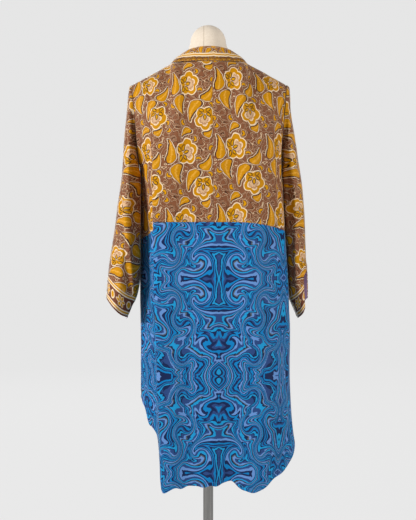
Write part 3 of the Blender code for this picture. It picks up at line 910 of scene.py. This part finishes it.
def marble(reading):
    """The marbled print, from a place on the bolt in metres."""
    across, up, _ = reading.parts()
    across = across.math("PINGPONG", MIRROR_ACROSS)
    up = up.math("PINGPONG", MIRROR_UP)
    place = reading.node("CombineXYZ", {}, {0: across, 1: up})
    for x, y, turn, reach in EDDIES:
        far = place.vector("DISTANCE", (x, y, 0), output=1)
        fading = {0: far, 2: reach, 3: turn, 4: 0.0}
        angle = far.node("MapRange", {"interpolation_type": "SMOOTHERSTEP"}, fading)
        turned = {"Vector": place, "Center": (x, y, 0), "Angle": angle}
        place = place.node("VectorRotate", {"rotation_type": "Z_AXIS"}, turned)
    place = place.vector("ADD", POURED_AT)
    for fineness, reach in DRIFTS:
        push = place.noise(fineness, 0.0, output=1)
        place = push.vector("MULTIPLY_ADD", (reach, reach, 0), place)
    x, y, _ = place.parts()
    even = x * BANDS_ACROSS + y * BANDS_UP
    bands = even + place.noise(18.0, 0.0) * POOLED + place.noise(90.0, 1.0) * RAGGED
    return bands.node("ValToRGB", {"bands": MARBLE}, {0: bands.math("FRACT")})


marbled, start = new_material("marbled_crepe")
reading = start.layer("cloth")
crepe(marble(reading), reading, 0.55)

faded, start = new_material("marbled_reverse")
reading = start.layer("cloth")
washed(marble(reading), reading, 0.45)

blue_thread = spun_thread("blue_thread", tint(84, 122, 178), tint(122, 158, 206))

# The lobes that the limp hem hangs in: their depth, the widths of a wide and a narrow one, the
# narrow ones' share, and how much deeper they are on the limp side, up to which line.
LOBE = 2.0 * MM
LOBE_WIDTHS = (0.054, 0.033)
NARROW_SHARE = 0.6
LIMP_SHARE = 1.4
LIMP_TO = PLACE["hollow_left"]
LOBE_FADE = 0.03

# How high a skirt's hem is turned up, and how high the close rows near its edge lie above it.
SKIRT_HEM = 10.0 * MM
TURN_UNDER = 0.5 * MM
HEM_ROWS = np.array([0, 0.4, 1.5, 4, 7, 9.6, 10.4, 12, 14.5]) * MM
SKIRT_CROWD = 1.3


def lobes(u, first, last):
    """How far the limp hem of a panel swings off its cut: most by the left side, not at its ends."""
    wide, narrow = (2 * math.pi / width for width in LOBE_WIDTHS)
    ends = smooth_step((u - first) / LOBE_FADE) * smooth_step((last - u) / LOBE_FADE)
    limp = 1 + LIMP_SHARE * smooth_step((LIMP_TO - u) / LOBE_FADE + 1)
    return LOBE * ends * limp * (np.sin(u * wide) + NARROW_SHARE * np.sin(u * narrow + 1))


def skirt_grid(first, last, columns, rows):
    """Points of a skirt panel, hem to waist, with close rows in the turned hem and at the waist."""
    u = first + (last - first) * close_at_ends(columns)
    waist = through(AROUND, WAIST_Z, u) - SEAM / 2
    hem = through(AROUND, HEM_Z, u) + lobes(u, first, last)
    rest = 1 - (1 - np.linspace(0, 1, rows)[1:, None]) ** SKIRT_CROWD
    low = hem + HEM_ROWS[:, None]
    high = low[-1] + (waist - low[-1]) * rest
    z = np.concatenate([low, high])
    return body(np.broadcast_to(u, z.shape), z), u, z - hem


def hem_wall(above_hem, turned):
    """How far the inner face lies in: one thickness, and two in a hem turned up so far."""
    return CREPE / 2 + CREPE * smooth_step((turned - above_hem) / TURN_UNDER)


# Each skirt panel's first and last place, its columns and rows, and its width and length as cut.
SKIRT_BACK = (PLACE["side_left"] + TURNED_SEAM / 2, PLACE["side_right"] - TURNED_SEAM / 2)
SKIRT = {
    "back": (*SKIRT_BACK, 230, 160, 0.72, 0.72),
    "front_left": (*FRONTS["left"], 90, 130, 0.26, 0.58),
    "front_right": (*FRONTS["right"], 90, 130, 0.26, 0.58),
}
SKIRT_CUT = 0.9
for name, (first, last, columns, rows, wide, long) in SKIRT.items():
    points, u, above_hem = skirt_grid(first, last, columns, rows)
    middle = int(np.argmin(abs(u - PLACE["centre_back"]))) if name == "back" else 0
    across = run(points, 1, middle) + (MARBLE_AXIS if name == "back" else 0.0)
    reading = np.stack([across, points[..., 2] - MARBLE_TOP], axis=-1)
    seams = (run(points, 1, 0), run(points, 1, columns - 1), run(points, 0, len(points) - 1))
    points = hung(points, u, (*seams, above_hem - SKIRT_HEM), 3)
    hem = hem_wall(above_hem, SKIRT_HEM)
    piece = cloth(f"skirt_{name}_cloth", points, reading, marbled, faded, inner=hem)
    thread = f"skirt_{name}_hem_thread"
    row = stitches(thread, points, above_hem, SKIRT_HEM, blue_thread)
    area = SKIRT_CUT * wide * long
    sewn_in(f"skirt_{name}")

# The sleeves, each a wide tube with the print turned a quarter, seamed under the arm. A striped
# border runs round the slanting cuff, and they hang empty and flat from the armholes.
HANDS = {"left": 1.0, "right": -1.0}

# Each row reads, in millimetres: how far down the sleeve in hundredths, the outer line's place
# across and its height, the inner line's, half the depth, and the middle's place fore and aft.
SLEEVES = {
    "left": (
        (0, 212, 1344, 190, 1110, 49, 4),
        (2, 217.5, 1340, 190.5, 1102, 50, 4),
        (5, 221, 1320, 191, 1090, 52, 4),
        (12, 224.5, 1278, 191.2, 1061, 57, 3),
        (25, 232.5, 1201, 191, 1007, 66, 2),
        (45, 242, 1085, 190.8, 922, 75, 0),
        (65, 258.5, 968, 190.6, 838, 81, -2),
        (75, 267, 910, 192.5, 798, 83, -3),
        (85, 275.5, 852, 203, 757, 84, -3),
        (100, 284.5, 760, 227.5, 698, 82, -3),
    ),
    "right": (
        (0, 212, 1344, 193, 1110, 49, 4),
        (2, 218.5, 1339, 194, 1102, 50, 4),
        (5, 221.5, 1319, 195.5, 1090, 52, 4),
        (12, 223.5, 1275, 198, 1061, 57, 3),
        (25, 235, 1203, 199.5, 1007, 66, 2),
        (45, 254.5, 1087, 204, 922, 75, 0),
        (65, 264, 971, 210, 840, 81, -2),
        (85, 267.5, 853, 218.5, 760, 84, -3),
        (100, 271.5, 754, 245, 700, 82, -3),
    ),
}

# The deep folds of the back (1) and the front (-1): where the fold lies across at the top and at
# the cuff, its height and width, and how far down it is strongest.
SLEEVE_FOLDS = (
    (1, 0.62, 0.50, 0.007, 0.10, 0.55),
    (1, 0.30, 0.22, 0.005, 0.09, 0.30),
    (1, 0.86, 0.80, 0.004, 0.07, 0.75),
    (-1, 0.55, 0.62, 0.007, 0.11, 0.50),
    (-1, 0.28, 0.30, 0.005, 0.09, 0.70),
)
FOLD_RUN = 0.42

# How far down a sleeve keeps the armhole's form, how round it is below, its gap to the body's
# side above and below, and how far its back lies over the body.
SEATED = 0.12
ROUNDNESS = 4.0
ARMHOLE_GAP = (1.2 * MM, 2.4 * MM)
OVERLAP = {"left": 9.5 * MM, "right": 2.0 * MM}
OVERLAP_AT = 0.2
OVERLAP_REACH = 0.09

# The creases of each sleeve's back and front, in millimetres across from the body's middle and
# above the floor.
SLEEVE_CREASES = {
    ("left", 1): (
        (((201, 700), (213, 809), (222, 913), (228, 990), (231, 1060), (228, 1150)), 15, 3.5, 8.0),
        (((218, 740), (229, 880), (236, 1010), (236, 1120)), 4, 7, -4.5),
        (((243, 800), (245, 930), (244, 1040)), 9, 4, 3.5),
        (((206, 840), (208, 940), (206, 1040)), 5, 7, -3.5),
        (((214, 1120), (219, 1210), (216, 1300)), 6, 8, 3.0),
        (((206, 1130), (206, 1220), (211, 1300)), 5, 5, -3.0),
    ),
    ("left", -1): (
        (((212, 760), (222, 880), (230, 1000), (226, 1120)), 9, 12, 5.0),
        (((246, 800), (244, 930), (240, 1060)), 8, 10, -3.5),
        (((204, 880), (208, 1000), (206, 1110)), 7, 8, 3.0),
    ),
    ("right", 1): (
        (((228, 790), (224, 900), (216, 1020), (212, 1130)), 7, 10, 4.0),
        (((240, 760), (238, 860), (232, 960)), 6, 7, -3.0),
        (((252, 800), (248, 900), (252, 990)), 9, 9, 3.0),
        (((216, 1130), (222, 1210), (220, 1290)), 7, 7, -2.5),
        (((238, 1000), (246, 1090), (240, 1170)), 8, 10, 2.6),
    ),
    ("right", -1): (
        (((240, 760), (236, 900), (226, 1040), (222, 1160)), 10, 12, 5.0),
        (((256, 800), (252, 930), (244, 1040)), 7, 9, -3.5),
        (((218, 880), (214, 980), (212, 1090)), 7, 8, 3.0),
    ),
}

# The mouth of the right cuff gapes at its outer corner, so the reverse of its front shows there:
# how far its back rises and its front swings out, and between which places round and down it.
GAPE_RISE = 0.13
GAPE_FROM = (-0.44, -0.32)
GAPE_TO = (0.02, 0.14)
FLARE = 6.5 * MM
FLARE_DOWN = (0.82, 0.92)
FLARE_FROM = (-0.3, 0.0)
FLARE_TO = (0.4, 1.0)


def sleeve_points(side, t, v, facing):
    """Points of a sleeve: t down its length, v from the inner line to the outer one."""
    table = np.array(SLEEVES[side], float)
    read = through(table[:, 0] / 100, table[:, 1:] * MM, t)
    outer_x, outer_z, inner_x, inner_z, depth, middle = np.moveaxis(read, -1, 0)
    hand = HANDS[side]
    gap = ARMHOLE_GAP[0] + (ARMHOLE_GAP[1] - ARMHOLE_GAP[0]) * (1 - v) ** 2
    seated = 1 - smooth_step(t / SEATED)
    side_y = body(np.full(1, PLACE["side_" + side]), np.full(1, CHEST))[0, 1]
    inner = np.stack([hand * (inner_x + gap), middle + seated * (side_y - middle), inner_z], -1)
    outer = np.stack([hand * (outer_x + gap), middle * (1 - seated), outer_z], -1)
    spread = seated * ARMHOLE_SPREAD + (1 - seated) * ROUNDNESS * depth
    over = seated * OVER_ARMHOLE + (1 - seated) * ROUNDNESS * depth
    leave = (seated * ARMHOLE_CLIMB)[..., None] * (outer - inner)
    leave[..., 1] += facing * spread
    arrive = np.stack([0 * over, -facing * over, 0 * over], -1)
    points = hermite(inner, leave, outer, arrive, v[..., None])
    for face, top, cuff, height, width, strongest in SLEEVE_FOLDS:
        crest = top + (cuff - top) * t
        reach = np.exp(-(((t - strongest) / FOLD_RUN) ** 2)) * (1 - seated)
        fold = facing * height * reach * np.exp(-(((v - crest) / width) ** 2))
        points[..., 1] += np.where(facing == face, fold, 0.0)
    over_body = (1 - seated) * np.exp(-(((v - OVERLAP_AT) / OVERLAP_REACH) ** 2)) * (facing > 0)
    points[..., 0] -= hand * OVERLAP[side] * over_body
    return points


def ramp(value, first, last):
    """A soft step from 0 at the first place to 1 at the last."""
    return smooth_step((value - first) / (last - first))


def stripe(color, across, middle):
    """A gold stripe with cream edges over the print, at a distance in millimetres from the edge."""
    off = abs(across - middle)
    color = off.inside(5.4, 0.6).pick(color, CREAM)
    return off.inside(2.0, 0.6).pick(color, GOLD)


def border_flowers(color, along, across, middle, step):
    """A row of six-petalled flowers with a small leaf between each two."""
    near = along.math("WRAP", step / 2, -step / 2)
    far, angle = from_here(near, across - middle)
    flower = petals(far, angle, step=math.pi / 3, last=4.0, middle=8.6, long=5.8, wide=3.4)
    color = flower.inside(1.6, 0.6).pick(color, CREAM)
    color = flower.inside(0.0, 0.6).pick(color, GOLD)
    beside = (along + step / 2).math("WRAP", step / 2, -step / 2)
    low = across - middle
    leaf = (beside * beside * 0.8 + low * low * 0.45).math("SQRT") - 5.2
    color = leaf.inside(2.2, 0.6).pick(color, CREAM)
    return leaf.inside(0.0, 0.6).pick(color, GOLD)


cuffed, start = new_material("floral_crepe_cuffed")
reading = start.layer("cloth")
along, across, _ = start.layer("border").vector("MULTIPLY", (1000, 1000, 1)).parts()
border = across.inside(58.0, 4.0).pick(tint(118, 74, 54), tint(112, 66, 46))
border = border_flowers(border, along, across, middle=32.0, step=56.0)
border = stripe(border, across, 54.0)
border = stripe(border, across, 10.0)
crepe(across.inside(58.9, 0.6).pick(flowers(reading), border), reading)

CUFF_HEM = 8.0 * MM
SLEEVE_SLACK = (1.4 * MM, 0.10)
SLEEVE_FLAT = (0.46, 0.56)
SLEEVE_CUT = 0.9
SLEEVE_CROWD = 1.15
SLEEVE_ROWS = 150
FACE_COLUMNS = 62
UNDERARM = 0.002

# Where each sleeve's print lies, up and across in metres, and the way it hangs, across and up.
SLEEVE_PRINTS = {"left": (-0.70, 0.075), "right": (-0.70, -0.078)}
SLEEVE_AXIS = {"left": (0.123, -0.992), "right": (-0.101, -0.995)}
for side, hand in HANDS.items():
    down = (np.linspace(0, 1, SLEEVE_ROWS) ** SLEEVE_CROWD)[:, None]
    v = np.linspace(UNDERARM, 1, FACE_COLUMNS)
    v = np.concatenate([v, v[-2::-1]])
    facing = np.concatenate([np.ones(FACE_COLUMNS), -np.ones(FACE_COLUMNS - 1)])
    t, v, facing = np.broadcast_arrays(down, v[None, :], facing[None, :])
    turned = facing * (v - 1)
    axis = np.array([SLEEVE_AXIS[side][0], 0.0, SLEEVE_AXIS[side][1]])
    cuff = sleeve_points(side, np.ones_like(t), v, facing) @ axis
    if side == "right":
        gape = ramp(turned, *GAPE_FROM) * (1 - ramp(turned, *GAPE_TO))
        t = t * (1 - GAPE_RISE * gape)
    points = sleeve_points(side, t, v, facing)
    if side == "right":
        flare = ramp(turned, *FLARE_FROM) * (1 - ramp(turned, *FLARE_TO))
        points[..., 0] -= FLARE * ramp(t, *FLARE_DOWN) * flare
    fall = points @ axis
    step = np.diff(points, axis=1)
    step = step - (step @ axis)[..., None] * axis
    round_it = np.cumsum(np.pad(np.linalg.norm(step, axis=-1), [(0, 0), (1, 0)]), axis=1)
    round_it = round_it - round_it[:, FACE_COLUMNS - 1:FACE_COLUMNS]
    print_up, print_across = SLEEVE_PRINTS[side]
    reading = np.stack([print_up - fall, round_it * hand + print_across], axis=-1)
    edge = np.stack([round_it, cuff - fall], axis=-1)
    from_cuff = -run(points, 0, len(points) - 1)
    from_top = run(points, 0, 0)
    for face in (1, -1):
        creases = SLEEVE_CREASES[side, face]
        folded = creased(points, hand * points[..., 0] / MM, points[..., 2] / MM, creases)
        points = np.where((facing == face)[..., None], folded, points)
    points = seamed(points, from_top, from_cuff - CUFF_HEM)
    # The rows then run upward, and the columns so that the faces look out.
    order = -1 if side == "left" else 1
    grids = (points, reading, edge, from_cuff)
    points, reading, edge, from_cuff = (grid[::-1, ::order] for grid in grids)
    points = ruffled(points, *SLEEVE_SLACK, seed=4)
    hem = hem_wall(from_cuff, CUFF_HEM)
    piece = cloth(f"sleeve_{side}_cloth", points, reading, cuffed, lilac, inner=hem, border=edge)
    thread = f"sleeve_{side}_cuff_thread"
    row = stitches(thread, points, from_cuff, CUFF_HEM, tan_thread)
    area = SLEEVE_CUT * SLEEVE_FLAT[0] * SLEEVE_FLAT[1]
    sewn_in(f"sleeve_{side}")

# The neckband: a standing back collar and a band down each front edge, doubled crepe in a
# striped border print, sewn to the neckline and to the front edges.
BAND_WIDTH = 0.042
COLLAR_RISE = (0.0425, 0.027)
COLLAR_LEAN = (0.016, 0.032)
COLLAR_BOW = 0.014
COLLAR_GAP = (0.5 * MM, 1.5 * MM)
COLLAR_SPREAD = 1.3
DOUBLED = 1.5 * MM
EDGE_STITCH = 2.5 * MM
COLLAR_SLACK = (0.5 * MM, 0.05)
BAND_SLACK = (0.8 * MM, 0.09)
COLLAR_COLUMNS = 110
COLLAR_ROWS = 24
BAND_COLUMNS = 22
SKIRT_BAND_ROWS = 150
CHEST_BAND_ROWS = 70

banded, start = new_material("border_crepe")
reading = start.layer("cloth")
along, across, _ = reading.vector("MULTIPLY", (1000, 1000, 1)).parts()
wandering = {"W": along, "Scale": 0.035, "Detail": 2.0}
wander = start.node("TexNoise", {"noise_dimensions": "1D"}, wandering)
across = across + (wander - 0.5) * 7.0
color = flowers(reading.vector("MULTIPLY_ADD", (1.9, 1.9, 1), (0.02, 0.062, 0)))
foot = abs(across - 6.0).inside(6.6, 0.6)
color = (foot * 0.75).pick(color, tint(92, 57, 41))
near = along.math("WRAP", 8.5, -8.5)
fan, angle = from_here(across - 1.0, near)
scallop = abs(fan - 7.4)
color = (scallop.inside(1.7, 0.6) * foot).pick(color, INK)
color = (scallop.inside(0.9, 0.6) * foot).pick(color, GOLD_DARK)
bud = petals(fan, angle, step=0.9, last=1.4, middle=3.0, long=2.2, wide=1.2)
color = (bud.inside(0.0, 0.6) * foot).pick(color, GOLD)
crepe(stripe(color, across, 19.0), reading)


def collar_across(x):
    """The way the collar stands up from the neckline, at places across."""
    side = np.minimum(abs(x) / NECK_POINT_X, 1.0) ** 2
    seam = np.stack([x, NECK_BACK_Y * np.sqrt(1 - side), 0 * x], axis=-1)
    inward = -seam / np.linalg.norm(seam, axis=-1, keepdims=True)
    lean = COLLAR_LEAN[0] + (COLLAR_LEAN[1] - COLLAR_LEAN[0]) * side
    rise = COLLAR_RISE[0] + (COLLAR_RISE[1] - COLLAR_RISE[0]) * side
    return inward * lean[..., None] + np.stack([0 * x, 0 * x, rise], axis=-1)


def collar_bow(x):
    """The way the middle of the collar bows out and up, at places across."""
    side = np.minimum(abs(x) / NECK_POINT_X, 1.0) ** 2
    across = collar_across(x)
    away = -across * np.array([1.0, 1.0, 0.0])
    lean = np.linalg.norm(away, axis=-1, keepdims=True)
    out_up = away * across[..., 2:] / lean + lean * np.array([0.0, 0.0, 1.0])
    return out_up / np.linalg.norm(across, axis=-1, keepdims=True) * COLLAR_BOW * side[..., None]


def band_grid(seam, across, bow, gap, parts):
    """Points of a band, from its seam to its free edge, bowed between them."""
    start = (gap / np.linalg.norm(across, axis=-1))[..., None]
    shares = [start + (1 - start) * s for s in np.linspace(0, 1, parts)]
    return np.stack([seam + across * share + bow * share * (1 - share) for share in shares])


def band(name, node, grid, reading, upright):
    """A doubled band with a row of stitches along its seam and one along its free edge."""
    wall = np.full(grid.shape[:2], DOUBLED - CREPE / 2)
    piece = cloth(f"{name}_cloth", grid, reading, banded, banded, inner=wall)
    from_seam = reading[..., 1]
    from_edge = from_seam.max(axis=int(upright), keepdims=True) - from_seam
    threads = [
        stitches(f"{name}_{row}_thread", grid, far, EDGE_STITCH, tan_thread, upright)
        for row, far in (("seam", from_seam), ("edge", from_edge))
    ]
    sewn_in(node)


u = np.linspace(PLACE["neck_left"] + SEAM, PLACE["neck_right"] - SEAM, COLLAR_COLUMNS)
seam = top_edge(u)
spread = smooth_step(COLLAR_SPREAD * abs(seam[:, 0]) / NECK_POINT_X)
gap = COLLAR_GAP[0] + (COLLAR_GAP[1] - COLLAR_GAP[0]) * spread
grid = band_grid(seam, collar_across(seam[:, 0]), collar_bow(seam[:, 0]), gap, COLLAR_ROWS)
along = run(grid, 1, 0)
reading = np.stack([np.broadcast_to(along[0], along.shape), run(grid, 0, 0)], axis=-1)
grid = ruffled(grid, *COLLAR_SLACK, seed=5)
band("collar", "collar_back", grid, reading, False)

for side, hand in HANDS.items():
    edge = PLACE["front_edge_" + side]
    hem = float(through(AROUND, HEM_Z, np.array([edge]))[0])
    z = np.linspace(hem, CHEST, SKIRT_BAND_ROWS, endpoint=False)
    low = body(np.full_like(z, edge), z)
    high_v = up_to_top(CHEST_BAND_ROWS)
    high = bodice(np.full_like(high_v, edge), high_v)
    turn = np.concatenate([0 * z, smooth_step(high_v)])
    level = np.array([-hand * BAND_WIDTH, 0.0, 0.0])
    neck_point = np.array([hand * NECK_POINT_X])
    bow = turn[:, None] * collar_bow(neck_point)
    across = (1 - turn)[:, None] * level + turn[:, None] * collar_across(neck_point)[0]
    gap = SEAM + (COLLAR_GAP[1] - SEAM) * turn
    grid = band_grid(np.concatenate([low, high]), across, bow, gap, BAND_COLUMNS)
    grid = grid.transpose(1, 0, 2)
    reading = np.stack([run(grid, 0, 0), run(grid, 1, 0)], axis=-1)
    if side == "left":
        grid = grid[:, ::-1]
        reading = reading[:, ::-1]
    grid = ruffled(grid, *BAND_SLACK, seed=6)
    band(f"band_{side}", f"front_band_{side}", grid, reading, True)

# The dress form: a padded torso and neck under stretched cream linen, cut in panels, so a fine
# seam runs up the neck. It ends just below the hips.
FORM_X = 0.0024
FORM_SIDES = 96
FORM_LEVELS = 170
DOME_LEVELS = 22
ROUND = 2.0

# Each ring reads, in millimetres: its height, half its width, how far it reaches to the front and
# to the back, and how square it is. A shoulder ring's width comes from the robe's own slope.
FORM_RINGS = (
    (740, 150, 92, 104, 2.2),
    (800, 163, 100, 118, 2.3),
    (870, 152, 98, 110, 2.3),
    (940, 128, 92, 88, 2.3),
    (1000, 118, 90, 78, 2.3),
    (1070, 130, 102, 86, 2.3),
    (1150, 147, 124, 97, 2.3),
    (1200, 155, 126, 101, 2.3),
    (1262, 170, 106, 98, 2.2),
    (1305, 185, 86, 86, 2.1),
    (1336, 190.5, 72, 76, 2.0),
)
SHOULDER_RINGS = ((1355, 66, 70), (1364, 65, 70), (1374, 64, 69), (1385, 61, 65), (1393, 58, 62))
FORM_NECK = (
    (1404, 91, 56, 60, 2.0),
    (1415, 73, 53, 58, 2.0),
    (1433, 59, 51, 56, 2.0),
    (1459, 49, 47, 52, 2.0),
)
FORM_FOOT = FORM_RINGS[0][0]
DOME_FOOT = FORM_NECK[-1][0]
NECK_TOP = 1509
DOME = NECK_TOP - DOME_FOOT
UNDER = 1.2 * MM * math.hypot(1, SHOULDER_DROP)


def ring_faces(rings, sides):
    """The faces between closed rings of points, each ring to the next."""
    index = np.arange(rings * sides).reshape(rings, sides)
    after = np.roll(index, -1, axis=1)
    return np.stack([index[:-1], after[:-1], after[1:], index[1:]], axis=-1).reshape(-1, 4)


table = [list(row) for row in FORM_RINGS]
for height, front, back in SHOULDER_RINGS:
    half = NECK_POINT_X + (NECK_POINT_Z - UNDER - height * MM) / SHOULDER_DROP
    table.append([height, (half - FORM_X) / MM, front, back, ROUND])
table = np.array(table + [list(row) for row in FORM_NECK])
dome = DOME_FOOT + DOME * np.sin(np.linspace(0, math.pi / 2, DOME_LEVELS)[1:-1])
heights = np.concatenate([np.linspace(FORM_FOOT, DOME_FOOT, FORM_LEVELS), dome])[:, None]
rings = through(table[:, 0], table[:, 1:], np.minimum(heights[:, 0], DOME_FOOT))
half, front, back, square = (rings[:, i:i + 1] for i in range(4))
shrink = np.sqrt(np.maximum(1 - ((heights - DOME_FOOT) / DOME) ** 2, 0))
shrink = np.where(heights > DOME_FOOT, shrink, 1.0)
square = np.where(heights > DOME_FOOT, ROUND, square)
turn = np.linspace(0, 2 * math.pi, FORM_SIDES, endpoint=False)[None, :]
c = np.cos(turn)
s = np.sin(turn)
x = np.sign(c) * abs(c) ** (2 / square) * half * shrink
y = np.sign(s) * abs(s) ** (2 / square) * np.where(s > 0, back, front) * shrink
points = np.stack([FORM_X + SHIFT + x * MM, y * MM, np.broadcast_to(heights * MM, x.shape)], -1)
tip = x.size
last_ring = range(tip - FORM_SIDES, tip)
caps = [[i, i + 1 if i + 1 < tip else tip - FORM_SIDES, tip] for i in last_ring]
under = [list(range(FORM_SIDES - 1, -1, -1))]
mesh = bpy.data.meshes.new("form_linen")
vertices = np.concatenate([points.reshape(-1, 3), [[FORM_X + SHIFT, 0, NECK_TOP * MM]]])
mesh.from_pydata(vertices, [], ring_faces(len(heights), FORM_SIDES).tolist() + caps + under)
mesh.shade_smooth()
mesh.set_sharp_from_angle(angle=SHARP)
form = in_place("form_linen", mesh)

WEAVE = 5200.0
PANEL_SEAM = 0.012

linen, start = new_material("stretched_linen")
place = start.in_space()
x, y, z = place.parts()
warp = (place.vector("DOT_PRODUCT", (1.0, 1.0, 0.0), output=1) * WEAVE).math("SINE")
weft = (z * WEAVE).math("SINE")
slub = place.noise(260.0, 3.0, "3D")
seam = abs(x - (FORM_X + SHIFT + PANEL_SEAM)).inside(0.0006, 0.0006)
color = slub.pick(tint(214, 198, 178), tint(238, 226, 210))
start.surface(
    {
        "Base Color": (seam * 0.8).pick(color, tint(160, 138, 112)),
        "Roughness": slub * 0.1 + 0.82,
        "Normal": (warp * weft * 0.5 + slub - seam * 2.0).bump(0.4, 0.3 * MM),
        "Sheen Weight": 0.15,
    }
)
mesh.materials.append(linen)
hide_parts("form_torso")

# The stand: a brushed steel pole that runs up into the torso, and a round steel foot with baked
# off-white paint, both kept as the frame has them.
brushed, start = new_material("brushed_pole")
streak = start.in_space().vector("MULTIPLY", (900.0, 900.0, 12.0)).noise(1.0, 3.0, "3D")
start.surface(
    {
        "Base Color": streak.pick(tint(168, 168, 168), tint(204, 204, 202)),
        "Metallic": 1.0,
        "Roughness": streak * 0.2 + 0.22,
    }
)
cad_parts["form_pole"].material_slots[0].material = brushed

painted, start = new_material("painted_foot")
place = start.in_space()
scuff = place.noise(26.0, 5.0, "3D")
start.surface(
    {
        "Base Color": scuff.pick(tint(222, 220, 214), tint(234, 232, 228)),
        "Roughness": scuff * 0.3 + 0.28,
        "Normal": place.noise(420.0, 2.0, "3D").bump(0.25, 0.2 * MM),
    }
)
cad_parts["form_foot"].material_slots[0].material = painted

# The room: a pale floor that curves up into a wall all round, a window light from the wearer's
# left, softer ones from the right and from in front, and the camera square on the robe's back.
FLOOR = 9.0
COVE = 4.0
WALL_TOP = 12.0
PALE = 0.835
GLOW_SHARE = 0.93
COVE_STEPS = 14
SWEEP_SIDES = 72
angles = np.linspace(0, math.pi / 2, COVE_STEPS)
cove = [(FLOOR + COVE * math.sin(a), COVE * (1 - math.cos(a))) for a in angles]
profile = [(0.001, 0.0), (3.0, 0.0), *cove, (FLOOR + COVE, WALL_TOP)]
sides = np.linspace(0, 2 * math.pi, SWEEP_SIDES, endpoint=False)
verts = [(r * math.cos(a), r * math.sin(a), z) for r, z in profile for a in sides]
mesh = bpy.data.meshes.new("sweep")
mesh.from_pydata(verts, [], ring_faces(len(profile), len(sides)))
mesh.shade_smooth()
sweep = bpy.data.objects.new("sweep", mesh)
bpy.context.scene.collection.objects.link(sweep)
paper, start = new_material("paper")
matte = start.node("BsdfPrincipled", {}, {"Base Color": (0.5, 0.5, 0.5, 1), "Roughness": 1.0})
glow = start.node("Emission", {}, {"Color": (PALE, PALE, PALE, 1), "Strength": 1.0})
shown = start.node("MixShader", {}, {0: GLOW_SHARE, 1: matte, 2: glow})
start.node("OutputMaterial", {}, {"Surface": shown})
mesh.materials.append(paper)
sweep.visible_diffuse = False
sweep.visible_glossy = False

# Each light's place and aim in metres, its size, its power in watts and its colour.
LIGHTS = (
    ("window", (2.65, 1.5, 1.7), (0.0, 0.0, 1.0), 0.7, 96.0, (1.0, 0.99, 0.97)),
    ("fill", (-2.7, 1.9, 1.6), (0.0, 0.0, 0.9), 1.6, 64.0, (1.0, 0.98, 0.95)),
    ("front", (0.6, -3.4, 2.2), (0.0, 0.0, 0.9), 2.2, 60.0, (1.0, 1.0, 1.0)),
)
for name, at, aim, size, power, color in LIGHTS:
    lamp = bpy.data.lights.new(name, "AREA")
    lamp.shape = "DISK"
    lamp.size = size
    lamp.energy = power
    lamp.color = color
    holder = bpy.data.objects.new(name, lamp)
    holder.location = at
    holder.rotation_euler = (Vector(aim) - Vector(at)).to_track_quat("-Z", "Y").to_euler()
    bpy.context.scene.collection.objects.link(holder)

ROOM_LIGHT = 0.34
world = bpy.data.worlds.new("room")
world.use_nodes = True
world.node_tree.nodes["Background"].inputs[0].default_value = (1.0, 0.985, 0.965, 1)
world.node_tree.nodes["Background"].inputs[1].default_value = ROOM_LIGHT
bpy.context.scene.world = world
bpy.context.scene.view_settings.view_transform = "Standard"

CAMERA_AT = Vector((-0.0035, 3.4, 1.02))
CAMERA_AIM = Vector((-0.0035, 0.1, 0.865))
LENS = 84.6
lens = bpy.data.cameras.new("camera")
lens.lens = LENS
camera = bpy.data.objects.new("camera", lens)
camera.location = CAMERA_AT
camera.rotation_euler = (CAMERA_AIM - CAMERA_AT).to_track_quat("-Z", "Y").to_euler()
bpy.context.scene.collection.objects.link(camera)
bpy.context.scene.camera = camera
